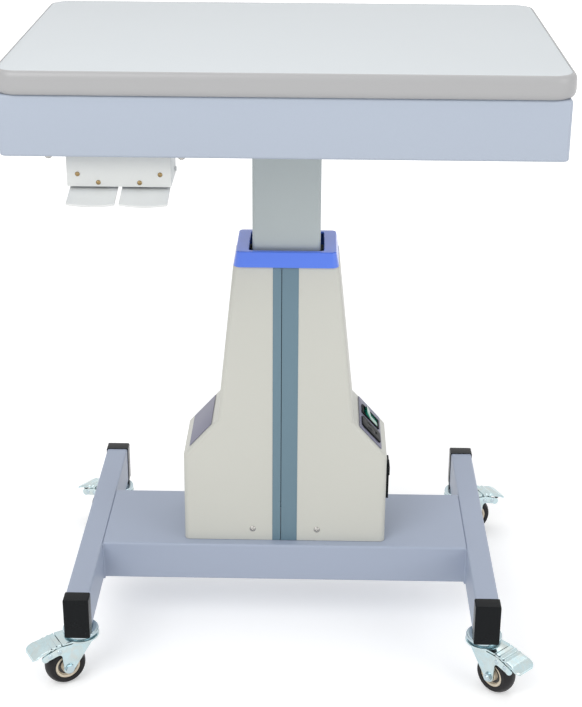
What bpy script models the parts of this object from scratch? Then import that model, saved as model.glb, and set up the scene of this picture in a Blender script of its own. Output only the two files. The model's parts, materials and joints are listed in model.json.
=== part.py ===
"""Motorised instrument table on braked casters, one named object per piece.

Metres, +Z up, +X right, -Y towards the user. The origin is on the floor under the middle of the column,
and the table stands at the height where the lift rests.
"""
import math

import bmesh
import bpy
from mathutils import Matrix, Vector

# Fits
TOUCH = 0.0003
SINK = 0.0004
MERGE = 0.000001

# The 45 degree point of a bend, as a share of its radius
BEND_SHARE = 1 - math.sqrt(0.5)

# Table top
TABLE_HIGH = 0.742
TOP_WIDE = 0.600
TOP_DEEP = 0.400
TOP_THICK = 0.025
TOP_CORNER = 0.027
BAND_DEEP = 0.01
BAND_ROUND = 0.009

# Tray under the top
TRAY_INSET = 0.005
TRAY_TALL = 0.065
TRAY_WALL = 0.0015
TRAY_BEND = 0.003
TRAY_CORNER = 0.005
PLATE_WIDE = 0.2
PLATE_DEEP = 0.15
PLATE_THICK = 0.01
PLATE_CORNER = 0.008
TRAY_FLANGE = 0.015
TRAY_HOLE_CLEAR = 0.0003

# Lifting column and its guide
COLUMN_WIDE = 0.080
COLUMN_DEEP = 0.062
COLUMN_WALL = 0.003
COLUMN_CORNER = 0.004
COLUMN_LONG = 0.388
GUIDE_SLACK = 0.002
GUIDE_WALL = 0.003
GUIDE_BELOW_COLLAR = 0.012
FOOT_MARGIN = 0.006
FOOT_THICK = 0.006
FOOT_HOLE_CLEAR = 0.004
GLIDE_DEEP = 0.022
GLIDE_LIP = 0.004
NUT_PLUG = 0.026
NUT_FLANGE = 0.008

# Drive
SCREW_RADIUS = 0.008
SCREW_LONG = 0.275
JOURNAL_RADIUS = 0.006
JOURNAL_LONG = 0.022
SCREW_CHAMFER = 0.0024
GEARBOX_TALL = 0.038
GEARBOX_DEEP = 0.084
GEARBOX_CORNER = 0.010
GEARBOX_MARGIN = 0.0075
MOTOR_RADIUS = 0.026
MOTOR_LONG = 0.080
MOTOR_GAP = 0.006
MOTOR_BOSS = 0.0065
MOTOR_STEP = 0.0026
MOTOR_BEVEL = 0.0039
MOTOR_NECK_INSET = 0.002
MOTOR_NECK_TALL = 0.013
CORE_WIDE = 0.050
CORE_DEEP = 0.066
CORE_TALL = 0.058
CORE_STACK = 0.030
COIL_DEEP = 0.042
COIL_CORNER = 0.008
COIL_CLEAR = 0.0038

# Housing
HOUSING_TALL = 0.358
HOUSING_WIDE = 0.250
HOUSING_DEEP = 0.116
HOUSING_TOP_WIDE = 0.125
HOUSING_TOP_DEEP = 0.084
SHOULDER_LOW = 0.114
SHOULDER_TALL = 0.047
SHOULDER_WIDE = 0.166
HOUSING_WALL = 0.0025
HOUSING_CORNER = 0.006
SEAM_OFFSET = -0.005
SEAM_GAP = 0.002
COLLAR_WIDE = 0.124
COLLAR_DEEP = 0.090
COLLAR_TALL = 0.018
COLLAR_DRAFT = 0.003
COLLAR_ROUND = 0.0015
COLLAR_WALL = 0.0025
COLLAR_TOP = 0.003
COLLAR_CLEAR = 0.004
COLLAR_CORNER = 0.009

# Electrical panel on the right shoulder
PANEL_LONG = 0.088
PANEL_TALL = 0.041
PANEL_THICK = 0.0010
PANEL_CORNER = 0.001
SWITCH_WIDE = 0.025
SWITCH_TALL = 0.032
SWITCH_RIM = 0.002
SWITCH_LIP = 0.0022
SWITCH_DEEP = 0.012
SWITCH_OFFSET = 0.014
ROCKER_TILT = 10.0
ROCKER_CREST = 0.0034
ROCKER_VALLEY = 0.0016
ROCKER_PIVOT = 0.003
ROCKER_BELLY = 0.0085
ROCKER_BELLY_FIRST = 205.0
ROCKER_BELLY_LAST = 335.0
ROCKER_END_CLEAR = 0.0014
SOCKET_WIDE = 0.027
SOCKET_TALL = 0.034
SOCKET_LIP = 0.0022
SOCKET_BODY_INSET = 0.002
SOCKET_DEEP = 0.016
SOCKET_OFFSET = -0.022
SOCKET_CORNER = 0.003
BODY_CORNER = 0.001
SLOT_WIDE = 0.0022
SLOT_LONG = 0.0065
SLOT_DEEP = 0.008
SLOT_PITCH = 0.012
SLOT_UP = 0.004
EARTH_SLOT_DOWN = 0.008
INLET_WIDE = 0.028
INLET_TALL = 0.050
INLET_LIP = 0.005
INLET_CORNER = 0.004
INLET_HIGH = 0.062
INLET_BODY_INSET = 0.002
INLET_DEEP = 0.020
RECESS_WIDE = 0.0225
RECESS_TALL = 0.0165
RECESS_DEEP = 0.018
RECESS_CHAMFER = 0.004
RECESS_DROP = 0.009
INLET_PIN_WIDE = 0.002
INLET_PIN_TALL = 0.004
INLET_PIN_LONG = 0.011
INLET_PIN_PITCH = 0.007
DRAWER_TALL = 0.012
DRAWER_RISE = 0.0012

# Base
BASE_WIDE = 0.510
BASE_LONG = 0.412
LEG_WIDE = 0.028
LEG_TALL = 0.050
LEG_WALL = 0.002
LEG_CORNER = 0.0025
CAP_LONG = 0.018
CAP_WALL = 0.0008
CAP_FACE = 0.003
CAP_CORNER = 0.002
CAP_SOFT = 0.0008
BEAM_DEEP = 0.140
BEAM_TALL = 0.050
BEAM_WALL = 0.0025
BEAM_CORNER = 0.003
BOLT_RADIUS = 0.004
BOLT_HEAD = 0.0065
BOLT_HEAD_TALL = 0.005
BOLT_BITE = 0.020
BOLT_SPREAD_X = 0.070
BOLT_SPREAD_Y = 0.056

# Hand control under the tray
CONTROL_WIDE = 0.111
CONTROL_TALL = 0.040
CONTROL_DEEP = 0.056
CONTROL_SHEET = 0.0015
CONTROL_FROM_SIDE = 0.064
CONTROL_FROM_FRONT = 0.030
EAR_WIDE = 0.010
PADDLE_GAP = 0.004
PADDLE_THICK = 0.0025
PADDLE_DROP = 0.0043
PADDLE_TILT = 12.0
PADDLE_REACH = 0.029
PADDLE_BULGE = 0.004
PIN_RADIUS = 0.0015
PIN_FROM_BACK = 0.010
HOOK_WALL = 0.0022
HOOK_LEAD = 0.0016
HOOK_END = 150.0
PADDLE_SOFT = 0.00075
SWITCH_BLOCK_WIDE = 0.020
SWITCH_BLOCK_TALL = 0.011
SWITCH_BLOCK_DEEP = 0.0065
SWITCH_BLOCK_UP = 0.0022
SWITCH_BLOCK_SPREAD = 0.045

# Casters
CASTER_TALL = 0.070
CASTER_FROM_END = 0.026
CASTER_TRAIL = 0.022
WHEEL_RADIUS = 0.025
WHEEL_WIDE = 0.021
TREAD_DEEP = 0.0095
HUB_DISH = 0.003
HUB_RIM = 0.0032
HUB_BOSS = 0.0075
HUB_SET_IN = 0.001
SHOULDER_FALL = 0.004
CROWN_FALL = 0.0012
CROWN_HALF = 0.007
FLAT_HALF = 0.003
AXLE_RADIUS = 0.004
AXLE_HEAD = 0.0065
AXLE_HEAD_TALL = 0.0038
STEM_RADIUS = 0.0049
STEM_LONG = 0.030
STEM_NUT = 0.008
STEM_NUT_TALL = 0.0075
RACE_SEAT = 0.0075
RACE_RADIUS = 0.0215
RACE_NECK = 0.016
RACE_TALL = 0.0042
RACE_NECK_TALL = 0.003
RACE_SOFT = 0.001
KING_RADIUS = 0.005
KING_HEAD = 0.009
KING_HEAD_TALL = 0.0025
FORK_WIDE = 0.030
FORK_SHEET = 0.0025
FORK_RADIUS = 0.022
FORK_TONGUE = 0.0295
FORK_REAR = 0.012
FORK_EYE = 0.007
FORK_EYE_FIRST = 20.0
FORK_EYE_LAST = -155.0
CHEEK_SHOULDER = 0.015
CHEEK_DROP = 0.0031
ARM_KNEE = 0.034
ARM_KNEE_DROP = 0.0036
NOSE_OUT = 0.0285
NOSE_UP = 0.0212
NOSE_RADIUS = 0.0047
NOSE_FIRST = 60.0
NOSE_LAST = -140.0
CROTCH_OUT = 0.012
CROTCH_UP = 0.0175
CROTCH_RADIUS = 0.004
CROTCH_FIRST = 80.0
RIVET_RADIUS = 0.0022
RIVET_HEAD = 0.0030
RIVET_RISE = 0.0010
PEDAL_PIVOT_OUT = 0.011
PEDAL_PIVOT_UP = 0.026
SECOND_RIVET_OUT = 0.0232
SECOND_RIVET_UP = 0.0238
PEDAL_REACH = 0.066
PEDAL_SHEET = 0.0018
PEDAL_GAP = 0.0010
PEDAL_FLARE = 0.0015
PEDAL_DROP = 0.0095
PEDAL_BEND = 1.2
LUG_SHEET = 0.0014
LUG_EYE = 0.0042
LUG_DIP = 0.0008
LUG_FIRST = 170.0
LUG_LAST = 370.0
SHOE_WIDE = 0.016
SHOE_THICK = 0.0035
SHOE_CLEAR = 0.0015
SHOE_FIRST = 36.0
SHOE_LAST = 48.0
SWIVEL_ANGLES = {"front_left": 210.0, "front_right": -46.0, "rear_left": 145.0, "rear_right": 25.0}

# Facets
CORNER_STEPS = 3
TOP_STEPS = 5
ROUND_STEPS = 20
WHEEL_STEPS = 24
RACE_STEPS = 14
HUB_STEPS = 16
BOLT_STEPS = 12
RIVET_STEPS = 8
BAND_STEPS = 4
HOOK_STEPS = 8
PADDLE_STATIONS = 6
BELLY_STEPS = 6
NOSE_STEPS = 6
CROTCH_STEPS = 3
EYE_STEPS = 5
PEDAL_STATIONS = 8
LUG_STEPS = 8
SHOE_STEPS = 3
SMOOTH_ANGLE = 35.0

# Heights and places worked out from the sizes above
LEG_TOP = CASTER_TALL + LEG_TALL
BEAM_TOP = LEG_TOP
TOP_UNDER = TABLE_HIGH - TOP_THICK
TRAY_TOP = TOP_UNDER - TOUCH
TRAY_UNDER = TRAY_TOP - TRAY_TALL
PLATE_TOP = TOP_UNDER - TOUCH
COLUMN_TOP = PLATE_TOP - PLATE_THICK - TOUCH
COLUMN_UNDER = COLUMN_TOP - COLUMN_LONG
HOUSING_TOP = BEAM_TOP + HOUSING_TALL
COLLAR_UNDER = HOUSING_TOP + TOUCH
GEARBOX_UNDER = BEAM_TOP + TOUCH
GEARBOX_TOP = GEARBOX_UNDER + GEARBOX_TALL
FOOT_UNDER = GEARBOX_TOP + TOUCH
GUIDE_TOP = HOUSING_TOP - GUIDE_BELOW_COLLAR
GUIDE_BORE_WIDE = COLUMN_WIDE + 2 * GUIDE_SLACK
GUIDE_BORE_DEEP = COLUMN_DEEP + 2 * GUIDE_SLACK
GUIDE_WIDE = GUIDE_BORE_WIDE + 2 * GUIDE_WALL
GUIDE_DEEP = GUIDE_BORE_DEEP + 2 * GUIDE_WALL
GUIDE_CORNER = COLUMN_CORNER + GUIDE_SLACK + GUIDE_WALL
FOOT_WIDE = GUIDE_WIDE + 2 * FOOT_MARGIN
FOOT_DEEP = GUIDE_DEEP + 2 * FOOT_MARGIN
MOTOR_X = -(FOOT_WIDE / 2 + MOTOR_GAP + MOTOR_RADIUS)
GEARBOX_LEFT = -(HOUSING_WIDE / 2 - HOUSING_WALL - GEARBOX_MARGIN)
GEARBOX_RIGHT = FOOT_WIDE / 2 + TOUCH
RACE_TOP = CASTER_TALL - CAP_WALL - 3 * TOUCH
RACE_UNDER = RACE_TOP - RACE_TALL - RACE_NECK_TALL
FORK_TOP = RACE_UNDER - TOUCH
FORK_UNDER = FORK_TOP - FORK_SHEET
CASTER_X = BASE_WIDE / 2 - LEG_WIDE / 2
CASTER_Y = BASE_LONG / 2 - CASTER_FROM_END
PIVOT_X = CASTER_TRAIL + PEDAL_PIVOT_OUT
PIVOT_Z = WHEEL_RADIUS + PEDAL_PIVOT_UP
CONTROL_LEFT = -TOP_WIDE / 2 + TRAY_INSET + CONTROL_FROM_SIDE
CONTROL_X = CONTROL_LEFT + CONTROL_WIDE / 2
CONTROL_FRONT = -TOP_DEEP / 2 + TRAY_INSET + CONTROL_FROM_FRONT
CONTROL_TOP = TRAY_UNDER - TOUCH
CONTROL_UNDER = CONTROL_TOP - CONTROL_TALL

FINISHES = {
    "laminate": ((0.73, 0.76, 0.78), 0.42, 0.0),
    "edge_grey": ((0.45, 0.45, 0.45), 0.38, 0.0),
    "lavender_paint": ((0.44, 0.47, 0.65), 0.45, 0.0),
    "base_paint": ((0.38, 0.43, 0.55), 0.45, 0.0),
    "column_grey": ((0.38, 0.42, 0.44), 0.40, 0.3),
    "ivory_plastic": ((0.61, 0.61, 0.56), 0.45, 0.0),
    "blue_plastic": ((0.10, 0.20, 0.80), 0.35, 0.0),
    "plate_grey": ((0.20, 0.20, 0.28), 0.50, 0.0),
    "black_plastic": ((0.02, 0.02, 0.02), 0.45, 0.0),
    "green_lens": ((0.01, 0.26, 0.17), 0.20, 0.0),
    "off_white": ((0.70, 0.71, 0.70), 0.40, 0.0),
    "steel": ((0.55, 0.55, 0.55), 0.35, 1.0),
    "zinc": ((0.66, 0.74, 0.76), 0.30, 1.0),
    "motor_black": ((0.04, 0.04, 0.05), 0.50, 0.4),
    "cast_alloy": ((0.45, 0.46, 0.47), 0.55, 0.8),
    "glide_white": ((0.80, 0.80, 0.78), 0.50, 0.0),
    "tyre_black": ((0.02, 0.02, 0.02), 0.60, 0.0),
    "hub_cream": ((0.75, 0.66, 0.51), 0.45, 0.0),
}


# Modelling helpers

def rounded(wide, deep, radius, middle=(0.0, 0.0), steps=CORNER_STEPS):
    """Counter-clockwise outline of a rectangle with rounded corners."""
    radius = min(radius, wide / 2 - SINK, deep / 2 - SINK)
    points = []
    for quarter, (side, end) in enumerate(((1, 1), (-1, 1), (-1, -1), (1, -1))):
        corner_x = middle[0] + side * (wide / 2 - radius)
        corner_y = middle[1] + end * (deep / 2 - radius)
        for step in range(steps + 1):
            turn = math.radians(90 * (quarter + step / steps))
            points.append((corner_x + radius * math.cos(turn), corner_y + radius * math.sin(turn)))
    return points


def circle(radius, steps=ROUND_STEPS, middle=(0.0, 0.0)):
    """Counter-clockwise circle."""
    turns = [2 * math.pi * step / steps for step in range(steps)]
    return [(middle[0] + radius * math.cos(t), middle[1] + radius * math.sin(t)) for t in turns]


def arc(middle, radius, first, last, steps):
    """Points on an arc, angles in degrees."""
    turns = [math.radians(first + (last - first) * step / steps) for step in range(steps + 1)]
    return [(middle[0] + radius * math.cos(t), middle[1] + radius * math.sin(t)) for t in turns]


def level(outline, height):
    """An outline lifted to a height."""
    return [(x, y, height) for x, y in outline]


def skin(rings, loop=False):
    """Solid from rings of equal length, capped at both ends or closed on itself."""
    bm = bmesh.new()
    rows = [[bm.verts.new(point) for point in ring] for ring in rings]
    pairs = list(zip(rows, rows[1:]))
    if loop:
        pairs.append((rows[-1], rows[0]))
    for low, high in pairs:
        for k in range(len(low)):
            after = (k + 1) % len(low)
            bm.faces.new((low[k], low[after], high[after], high[k]))
    if not loop:
        bm.faces.new(list(reversed(rows[0])))
        bm.faces.new(rows[-1])
    bmesh.ops.recalc_face_normals(bm, faces=bm.faces[:])
    return bm


def prism(outline, low, high):
    """Outline extruded along Z."""
    return skin([level(outline, low), level(outline, high)])


def tube(outer, inner, low, high):
    """Straight tube along Z between two outlines of equal length."""
    return skin([level(outer, low), level(outer, high), level(inner, high), level(inner, low)], loop=True)


def block(low, high):
    """Box between two corners."""
    outline = [(low[0], low[1]), (high[0], low[1]), (high[0], high[1]), (low[0], high[1])]
    return prism(outline, low[2], high[2])


def turned(profile, steps=ROUND_STEPS):
    """Profile of (radius, height) points turned about Z; points on the axis are merged."""
    bm = bmesh.new()
    verts = [bm.verts.new((radius, 0.0, height)) for radius, height in profile]
    pairs = list(zip(verts, verts[1:]))
    if min(radius for radius, _ in profile) > 0:
        pairs.append((verts[-1], verts[0]))
    edges = [bm.edges.new(pair) for pair in pairs]
    bmesh.ops.spin(bm, geom=verts + edges, cent=(0, 0, 0), axis=(0, 0, 1), dvec=(0, 0, 0),
                   angle=2 * math.pi, steps=steps, use_merge=True, use_duplicate=False)
    bmesh.ops.remove_doubles(bm, verts=bm.verts[:], dist=MERGE)
    bmesh.ops.recalc_face_normals(bm, faces=bm.faces[:])
    return bm


def bolt(shank_radius, head_radius, inside, head_tall, steps=BOLT_STEPS):
    """Pin along Z, centred, with a six-sided head past each end of the span it goes through."""
    shank = circle(shank_radius, steps)
    head = []
    for k in range(steps):
        turn = 2 * math.pi * k / steps
        flat = abs((turn % (math.pi / 3)) - math.pi / 6)
        reach = head_radius * math.cos(math.pi / 6) / math.cos(math.pi / 6 - flat)
        head.append((reach * math.cos(turn), reach * math.sin(turn)))
    half = inside / 2
    return skin([level(head, -half - head_tall), level(head, -half), level(shank, -half),
                 level(shank, half), level(head, half), level(head, half + head_tall)])


def moved(bm, x=0.0, y=0.0, z=0.0):
    """The same solid, shifted."""
    bm.transform(Matrix.Translation((x, y, z)))
    return bm


def posed(bm, matrix):
    """The same solid, placed by a matrix."""
    bm.transform(matrix)
    return bm


def boolean(bm, tools, operation):
    """Join tools to a solid, or cut them out of it, one after another."""
    def stand(solid, name):
        mesh = bpy.data.meshes.new(name)
        solid.to_mesh(mesh)
        solid.free()
        obj = bpy.data.objects.new(name, mesh)
        bpy.context.collection.objects.link(obj)
        return obj

    body = stand(bm, "body")
    helpers = [stand(tool, "tool") for tool in tools]
    for helper in helpers:
        modifier = body.modifiers.new(operation.lower(), "BOOLEAN")
        modifier.operation = operation
        modifier.solver = "EXACT"
        modifier.object = helper
    graph = bpy.context.evaluated_depsgraph_get()
    result = bmesh.new()
    result.from_mesh(body.evaluated_get(graph).to_mesh())
    for obj in [body] + helpers:
        mesh = obj.data
        bpy.data.objects.remove(obj)
        bpy.data.meshes.remove(mesh)
    bmesh.ops.remove_doubles(result, verts=result.verts[:], dist=MERGE / 10)
    return result


def joined(bm, *tools):
    """One solid made of overlapping ones."""
    return boolean(bm, tools, "UNION")


def cut(bm, *tools):
    """A solid with the tools cut out."""
    return boolean(bm, tools, "DIFFERENCE")


def finish(name):
    """The material of that name, made on first use."""
    material = bpy.data.materials.get(name)
    if material is None:
        colour, roughness, metallic = FINISHES[name]
        material = bpy.data.materials.new(name)
        material.use_nodes = True
        shader = material.node_tree.nodes["Principled BSDF"]
        shader.inputs["Base Color"].default_value = (*colour, 1.0)
        shader.inputs["Roughness"].default_value = roughness
        shader.inputs["Metallic"].default_value = metallic
        material.diffuse_color = (*colour, 1.0)
    return material


def mesh_of(name, bm, material, smooth=True):
    """Mesh data with its material and shading."""
    mesh = bpy.data.meshes.new(name)
    bm.to_mesh(mesh)
    bm.free()
    mesh.materials.append(finish(material))
    if smooth:
        mesh.shade_smooth()
        mesh.set_sharp_from_angle(angle=math.radians(SMOOTH_ANGLE))
    return mesh


def place(name, mesh, parent=None, location=(0.0, 0.0, 0.0)):
    """A named object that shows a mesh."""
    obj = bpy.data.objects.new(name, mesh)
    bpy.context.collection.objects.link(obj)
    obj.parent = parent
    obj.location = location
    return obj


def add(name, bm, material, parent=None, location=(0.0, 0.0, 0.0), smooth=True):
    """A named object made from a solid."""
    return place(name, mesh_of(name, bm, material, smooth), parent, location)


def pivot(name, location, turn=0.0, parent=None):
    """An empty on a joint's axis."""
    empty = bpy.data.objects.new(name, None)
    bpy.context.collection.objects.link(empty)
    empty.parent = parent
    empty.location = location
    empty.rotation_euler = (0.0, 0.0, math.radians(turn))
    return empty


ALONG_X = Matrix.Rotation(math.radians(90), 4, "Y")
ALONG_Y = Matrix.Rotation(math.radians(-90), 4, "X")


# Lifting head

def table_top(head):
    """Laminated board and the soft band round its edge."""
    board_inset = BAND_DEEP + TOUCH
    outline = rounded(TOP_WIDE - 2 * board_inset, TOP_DEEP - 2 * board_inset, TOP_CORNER - board_inset,
                      steps=TOP_STEPS)
    add("table_top_board", prism(outline, TOP_UNDER, TABLE_HIGH), "laminate", head)

    upper = (BAND_ROUND, TABLE_HIGH - BAND_ROUND)
    lower = (BAND_ROUND, TOP_UNDER + BAND_ROUND)
    profile = [(BAND_DEEP, TABLE_HIGH)] + arc(upper, BAND_ROUND, 90, 180, BAND_STEPS)
    profile += arc(lower, BAND_ROUND, 180, 270, BAND_STEPS) + [(BAND_DEEP, TOP_UNDER)]
    rings = []
    for inset, height in profile:
        ring = rounded(TOP_WIDE - 2 * inset, TOP_DEEP - 2 * inset, TOP_CORNER - inset, steps=TOP_STEPS)
        rings.append(level(ring, height))
    add("edge_band", skin(rings, loop=True), "edge_grey", head)


def tray(head):
    """Folded steel tray with inward flanges under the board and a hole for the column, and the top plate."""
    wide = TOP_WIDE - 2 * TRAY_INSET
    deep = TOP_DEEP - 2 * TRAY_INSET

    def ring(inset, height):
        corner = TRAY_CORNER * (1 - inset / TRAY_FLANGE / 2)
        return level(rounded(wide - 2 * inset, deep - 2 * inset, corner), height)

    bend = TRAY_BEND
    part_bent = bend * BEND_SHARE
    wall = TRAY_WALL
    clear = TRAY_HOLE_CLEAR
    hole = rounded(COLUMN_WIDE + 2 * clear, COLUMN_DEEP + 2 * clear, COLUMN_CORNER + clear)
    rings = [level(hole, TRAY_UNDER), ring(bend, TRAY_UNDER), ring(part_bent, TRAY_UNDER + part_bent),
             ring(0, TRAY_UNDER + bend), ring(0, TRAY_TOP - bend), ring(part_bent, TRAY_TOP - part_bent),
             ring(bend, TRAY_TOP), ring(TRAY_FLANGE, TRAY_TOP), ring(TRAY_FLANGE, TRAY_TOP - wall),
             ring(bend, TRAY_TOP - wall), ring(wall, TRAY_TOP - bend), ring(wall, TRAY_UNDER + bend),
             ring(bend, TRAY_UNDER + wall), level(hole, TRAY_UNDER + wall)]
    add("apron_tray", skin(rings, loop=True), "lavender_paint", head)
    plate = rounded(PLATE_WIDE, PLATE_DEEP, PLATE_CORNER)
    add("top_mount_plate", prism(plate, PLATE_TOP - PLATE_THICK, PLATE_TOP), "steel", head)


def lifting_column(head):
    """Moving tube, with the nut block that closes its foot and runs on the screw."""
    outer = rounded(COLUMN_WIDE, COLUMN_DEEP, COLUMN_CORNER)
    inner = rounded(COLUMN_WIDE - 2 * COLUMN_WALL, COLUMN_DEEP - 2 * COLUMN_WALL, COLUMN_CORNER - COLUMN_WALL)
    add("inner_column", tube(outer, inner, COLUMN_UNDER, COLUMN_TOP), "column_grey", head)

    gap = COLUMN_WALL + TOUCH
    plug = rounded(COLUMN_WIDE - 2 * gap, COLUMN_DEEP - 2 * gap, COLUMN_CORNER - COLUMN_WALL)
    shoe = rounded(GUIDE_BORE_WIDE - 2 * TOUCH, GUIDE_BORE_DEEP - 2 * TOUCH, GUIDE_CORNER - GUIDE_WALL)
    top = COLUMN_UNDER - TOUCH
    nut = skin([level(shoe, top - NUT_FLANGE), level(shoe, top), level(plug, top),
                level(plug, top + NUT_PLUG)])
    bore = prism(circle(SCREW_RADIUS + TOUCH), 0.0, COLUMN_TOP)
    add("lift_nut", cut(nut, bore), "glide_white", head)


def control_cover(head):
    """Folded cover of the hand control, open below and behind, with an ear on each side."""
    half = CONTROL_WIDE / 2
    back = CONTROL_FRONT + CONTROL_DEEP
    wall = CONTROL_SHEET
    outline = [(-half, CONTROL_FRONT), (half, CONTROL_FRONT), (half, back), (half - wall, back),
               (half - wall, CONTROL_FRONT + wall), (-half + wall, CONTROL_FRONT + wall),
               (-half + wall, back), (-half, back)]
    cover = prism(outline, CONTROL_UNDER, CONTROL_TOP)
    ears = []
    for side in (-1, 1):
        root = side * (half - SINK)
        tip = side * (half + EAR_WIDE)
        ears.append(block((min(root, tip), CONTROL_FRONT + wall * 2, CONTROL_TOP - wall),
                          (max(root, tip), back - wall, CONTROL_TOP - SINK)))
    pin_y, pin_z = paddle_axis()
    bore = posed(prism(circle(PIN_RADIUS + TOUCH, BOLT_STEPS), -CONTROL_WIDE, CONTROL_WIDE), ALONG_X)
    cover = cut(joined(cover, *ears), moved(bore, 0, pin_y, pin_z))
    add("control_bracket", cover, "off_white", head, (CONTROL_X, 0, 0))
    pin = bolt(PIN_RADIUS, PIN_RADIUS * 2, CONTROL_WIDE + 2 * TOUCH, PIN_RADIUS)
    add("paddle_pin", moved(posed(pin, ALONG_X), 0, pin_y, pin_z), "steel", head, (CONTROL_X, 0, 0))


def control_switches(head):
    """Microswitches on the inside of the cover's front, one over each paddle."""
    inside = CONTROL_FRONT + CONTROL_SHEET + TOUCH
    under = CONTROL_UNDER + SWITCH_BLOCK_UP
    for name, side in (("up_switch", -1), ("down_switch", 1)):
        middle = CONTROL_X + side * SWITCH_BLOCK_SPREAD / 2
        case = block((middle - SWITCH_BLOCK_WIDE / 2, inside, under),
                     (middle + SWITCH_BLOCK_WIDE / 2, inside + SWITCH_BLOCK_DEEP, under + SWITCH_BLOCK_TALL))
        add(name, case, "black_plastic", head, smooth=False)


def paddle_axis():
    """Y and Z of the paddles' hinge pin."""
    pin_y = CONTROL_FRONT + CONTROL_DEEP - PIN_FROM_BACK
    slope = math.tan(math.radians(PADDLE_TILT))
    over_edge = CONTROL_UNDER - PADDLE_DROP + (pin_y - CONTROL_FRONT) * slope
    return pin_y, over_edge - PADDLE_THICK / 2 + PIN_RADIUS + TOUCH + HOOK_WALL / 2


def paddle(name, side, head):
    """Moulded paddle that hooks over the pin, tilts down and ends in a bowed front edge."""
    pin_y, pin_z = paddle_axis()
    wide = (CONTROL_WIDE - PADDLE_GAP) / 2 - CONTROL_SHEET - TOUCH
    middle = CONTROL_X + side * (PADDLE_GAP / 2 + wide / 2)
    tilt = math.radians(PADDLE_TILT)
    eye = PIN_RADIUS + TOUCH
    outside = eye + HOOK_WALL
    reach = pin_y - CONTROL_FRONT + PADDLE_REACH
    bottom = -outside
    top = bottom + PADDLE_THICK
    soft = PADDLE_SOFT
    hook = arc((0, 0), outside, -90, HOOK_END, HOOK_STEPS) + arc((0, 0), eye, HOOK_END, -90, HOOK_STEPS)
    rings = []
    for k in range(PADDLE_STATIONS + 1):
        across = k / PADDLE_STATIONS * 2 - 1
        front = -(reach + PADDLE_BULGE * (1 - across * across)) / math.cos(tilt)
        blade = [(-outside - HOOK_LEAD, top), (front + soft, top), (front, top - soft),
                 (front, bottom + soft), (front + soft, bottom)]
        rings.append([(across * wide / 2, y, z) for y, z in hook + blade])
    solid = posed(skin(rings), Matrix.Rotation(tilt, 4, "X"))
    add(name, solid, "off_white", head, (middle, pin_y, pin_z))


# Housing

def housing_half_wide(height):
    """Half the housing's width at a height above the beam."""
    points = [(0.0, HOUSING_WIDE), (SHOULDER_LOW, HOUSING_WIDE),
              (SHOULDER_LOW + SHOULDER_TALL, SHOULDER_WIDE), (HOUSING_TALL, HOUSING_TOP_WIDE)]
    for (low, wide_low), (high, wide_high) in zip(points, points[1:]):
        if height <= high:
            break
    return (wide_low + (wide_high - wide_low) * (height - low) / (high - low)) / 2


def housing_half_deep(height):
    """Half the housing's depth at a height above the beam."""
    return (HOUSING_DEEP + (HOUSING_TOP_DEEP - HOUSING_DEEP) * height / HOUSING_TALL) / 2


def half_shell(side):
    """Left or right half of the housing's wall, open below, above and at the seam."""
    seam = side * SEAM_OFFSET + SEAM_GAP / 2
    rings = []
    for height in (TOUCH, SHOULDER_LOW, SHOULDER_LOW + SHOULDER_TALL, HOUSING_TALL):
        across = housing_half_wide(height)
        deep = housing_half_deep(height)

        def path(inset):
            radius = max(HOUSING_CORNER - inset, HOUSING_CORNER / 4)
            corner_x = across - inset - radius
            corner_y = deep - inset - radius
            points = [(seam, -deep + inset)] + arc((corner_x, -corner_y), radius, -90, 0, CORNER_STEPS)
            return points + arc((corner_x, corner_y), radius, 0, 90, CORNER_STEPS) + [(seam, deep - inset)]

        outline = path(0.0) + list(reversed(path(HOUSING_WALL)))
        rings.append([(side * x, y, BEAM_TOP + height) for x, y in outline])
    return skin(rings)


def shoulder_frame(side):
    """Matrix on the middle of a shoulder: X runs front to back, Y up the slope, Z out of it."""
    drop = (HOUSING_WIDE - SHOULDER_WIDE) / 2
    up = Vector((-side * drop, 0.0, SHOULDER_TALL)).normalized()
    along = Vector((0.0, side, 0.0))
    out = along.cross(up)
    middle = Vector((side * (HOUSING_WIDE - drop) / 2, 0.0, BEAM_TOP + SHOULDER_LOW + SHOULDER_TALL / 2))
    frame = Matrix((along, up, out)).transposed().to_4x4()
    frame.translation = middle
    return frame


def wall_frame():
    """Matrix on the right wall at the mains inlet: X runs front to back, Y up, Z out."""
    frame = Matrix(((0, 1, 0), (0, 0, 1), (1, 0, 0))).transposed().to_4x4()
    frame.translation = (HOUSING_WIDE / 2, 0.0, BEAM_TOP + INLET_HIGH)
    return frame


def covers():
    """The two half shells, the right one with windows for the electrical fittings."""
    add("left_cover", half_shell(-1), "ivory_plastic")
    gap = TOUCH
    switch = [SWITCH_WIDE / 2 + gap, SWITCH_TALL / 2 + gap]
    socket = [SOCKET_WIDE / 2 - SOCKET_BODY_INSET + gap, SOCKET_TALL / 2 - SOCKET_BODY_INSET + gap]
    inlet = [INLET_WIDE / 2 - INLET_BODY_INSET + gap, INLET_TALL / 2 - INLET_BODY_INSET + gap]
    through = HOUSING_WALL * 4
    shoulder = shoulder_frame(1)
    holes = [posed(block((SWITCH_OFFSET - switch[0], -switch[1], -through),
                         (SWITCH_OFFSET + switch[0], switch[1], through)), shoulder),
             posed(block((SOCKET_OFFSET - socket[0], -socket[1], -through),
                         (SOCKET_OFFSET + socket[0], socket[1], through)), shoulder),
             posed(block((-inlet[0], -inlet[1], -through), (inlet[0], inlet[1], through)), wall_frame())]
    add("right_cover", cut(half_shell(1), *holes), "ivory_plastic")


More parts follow.
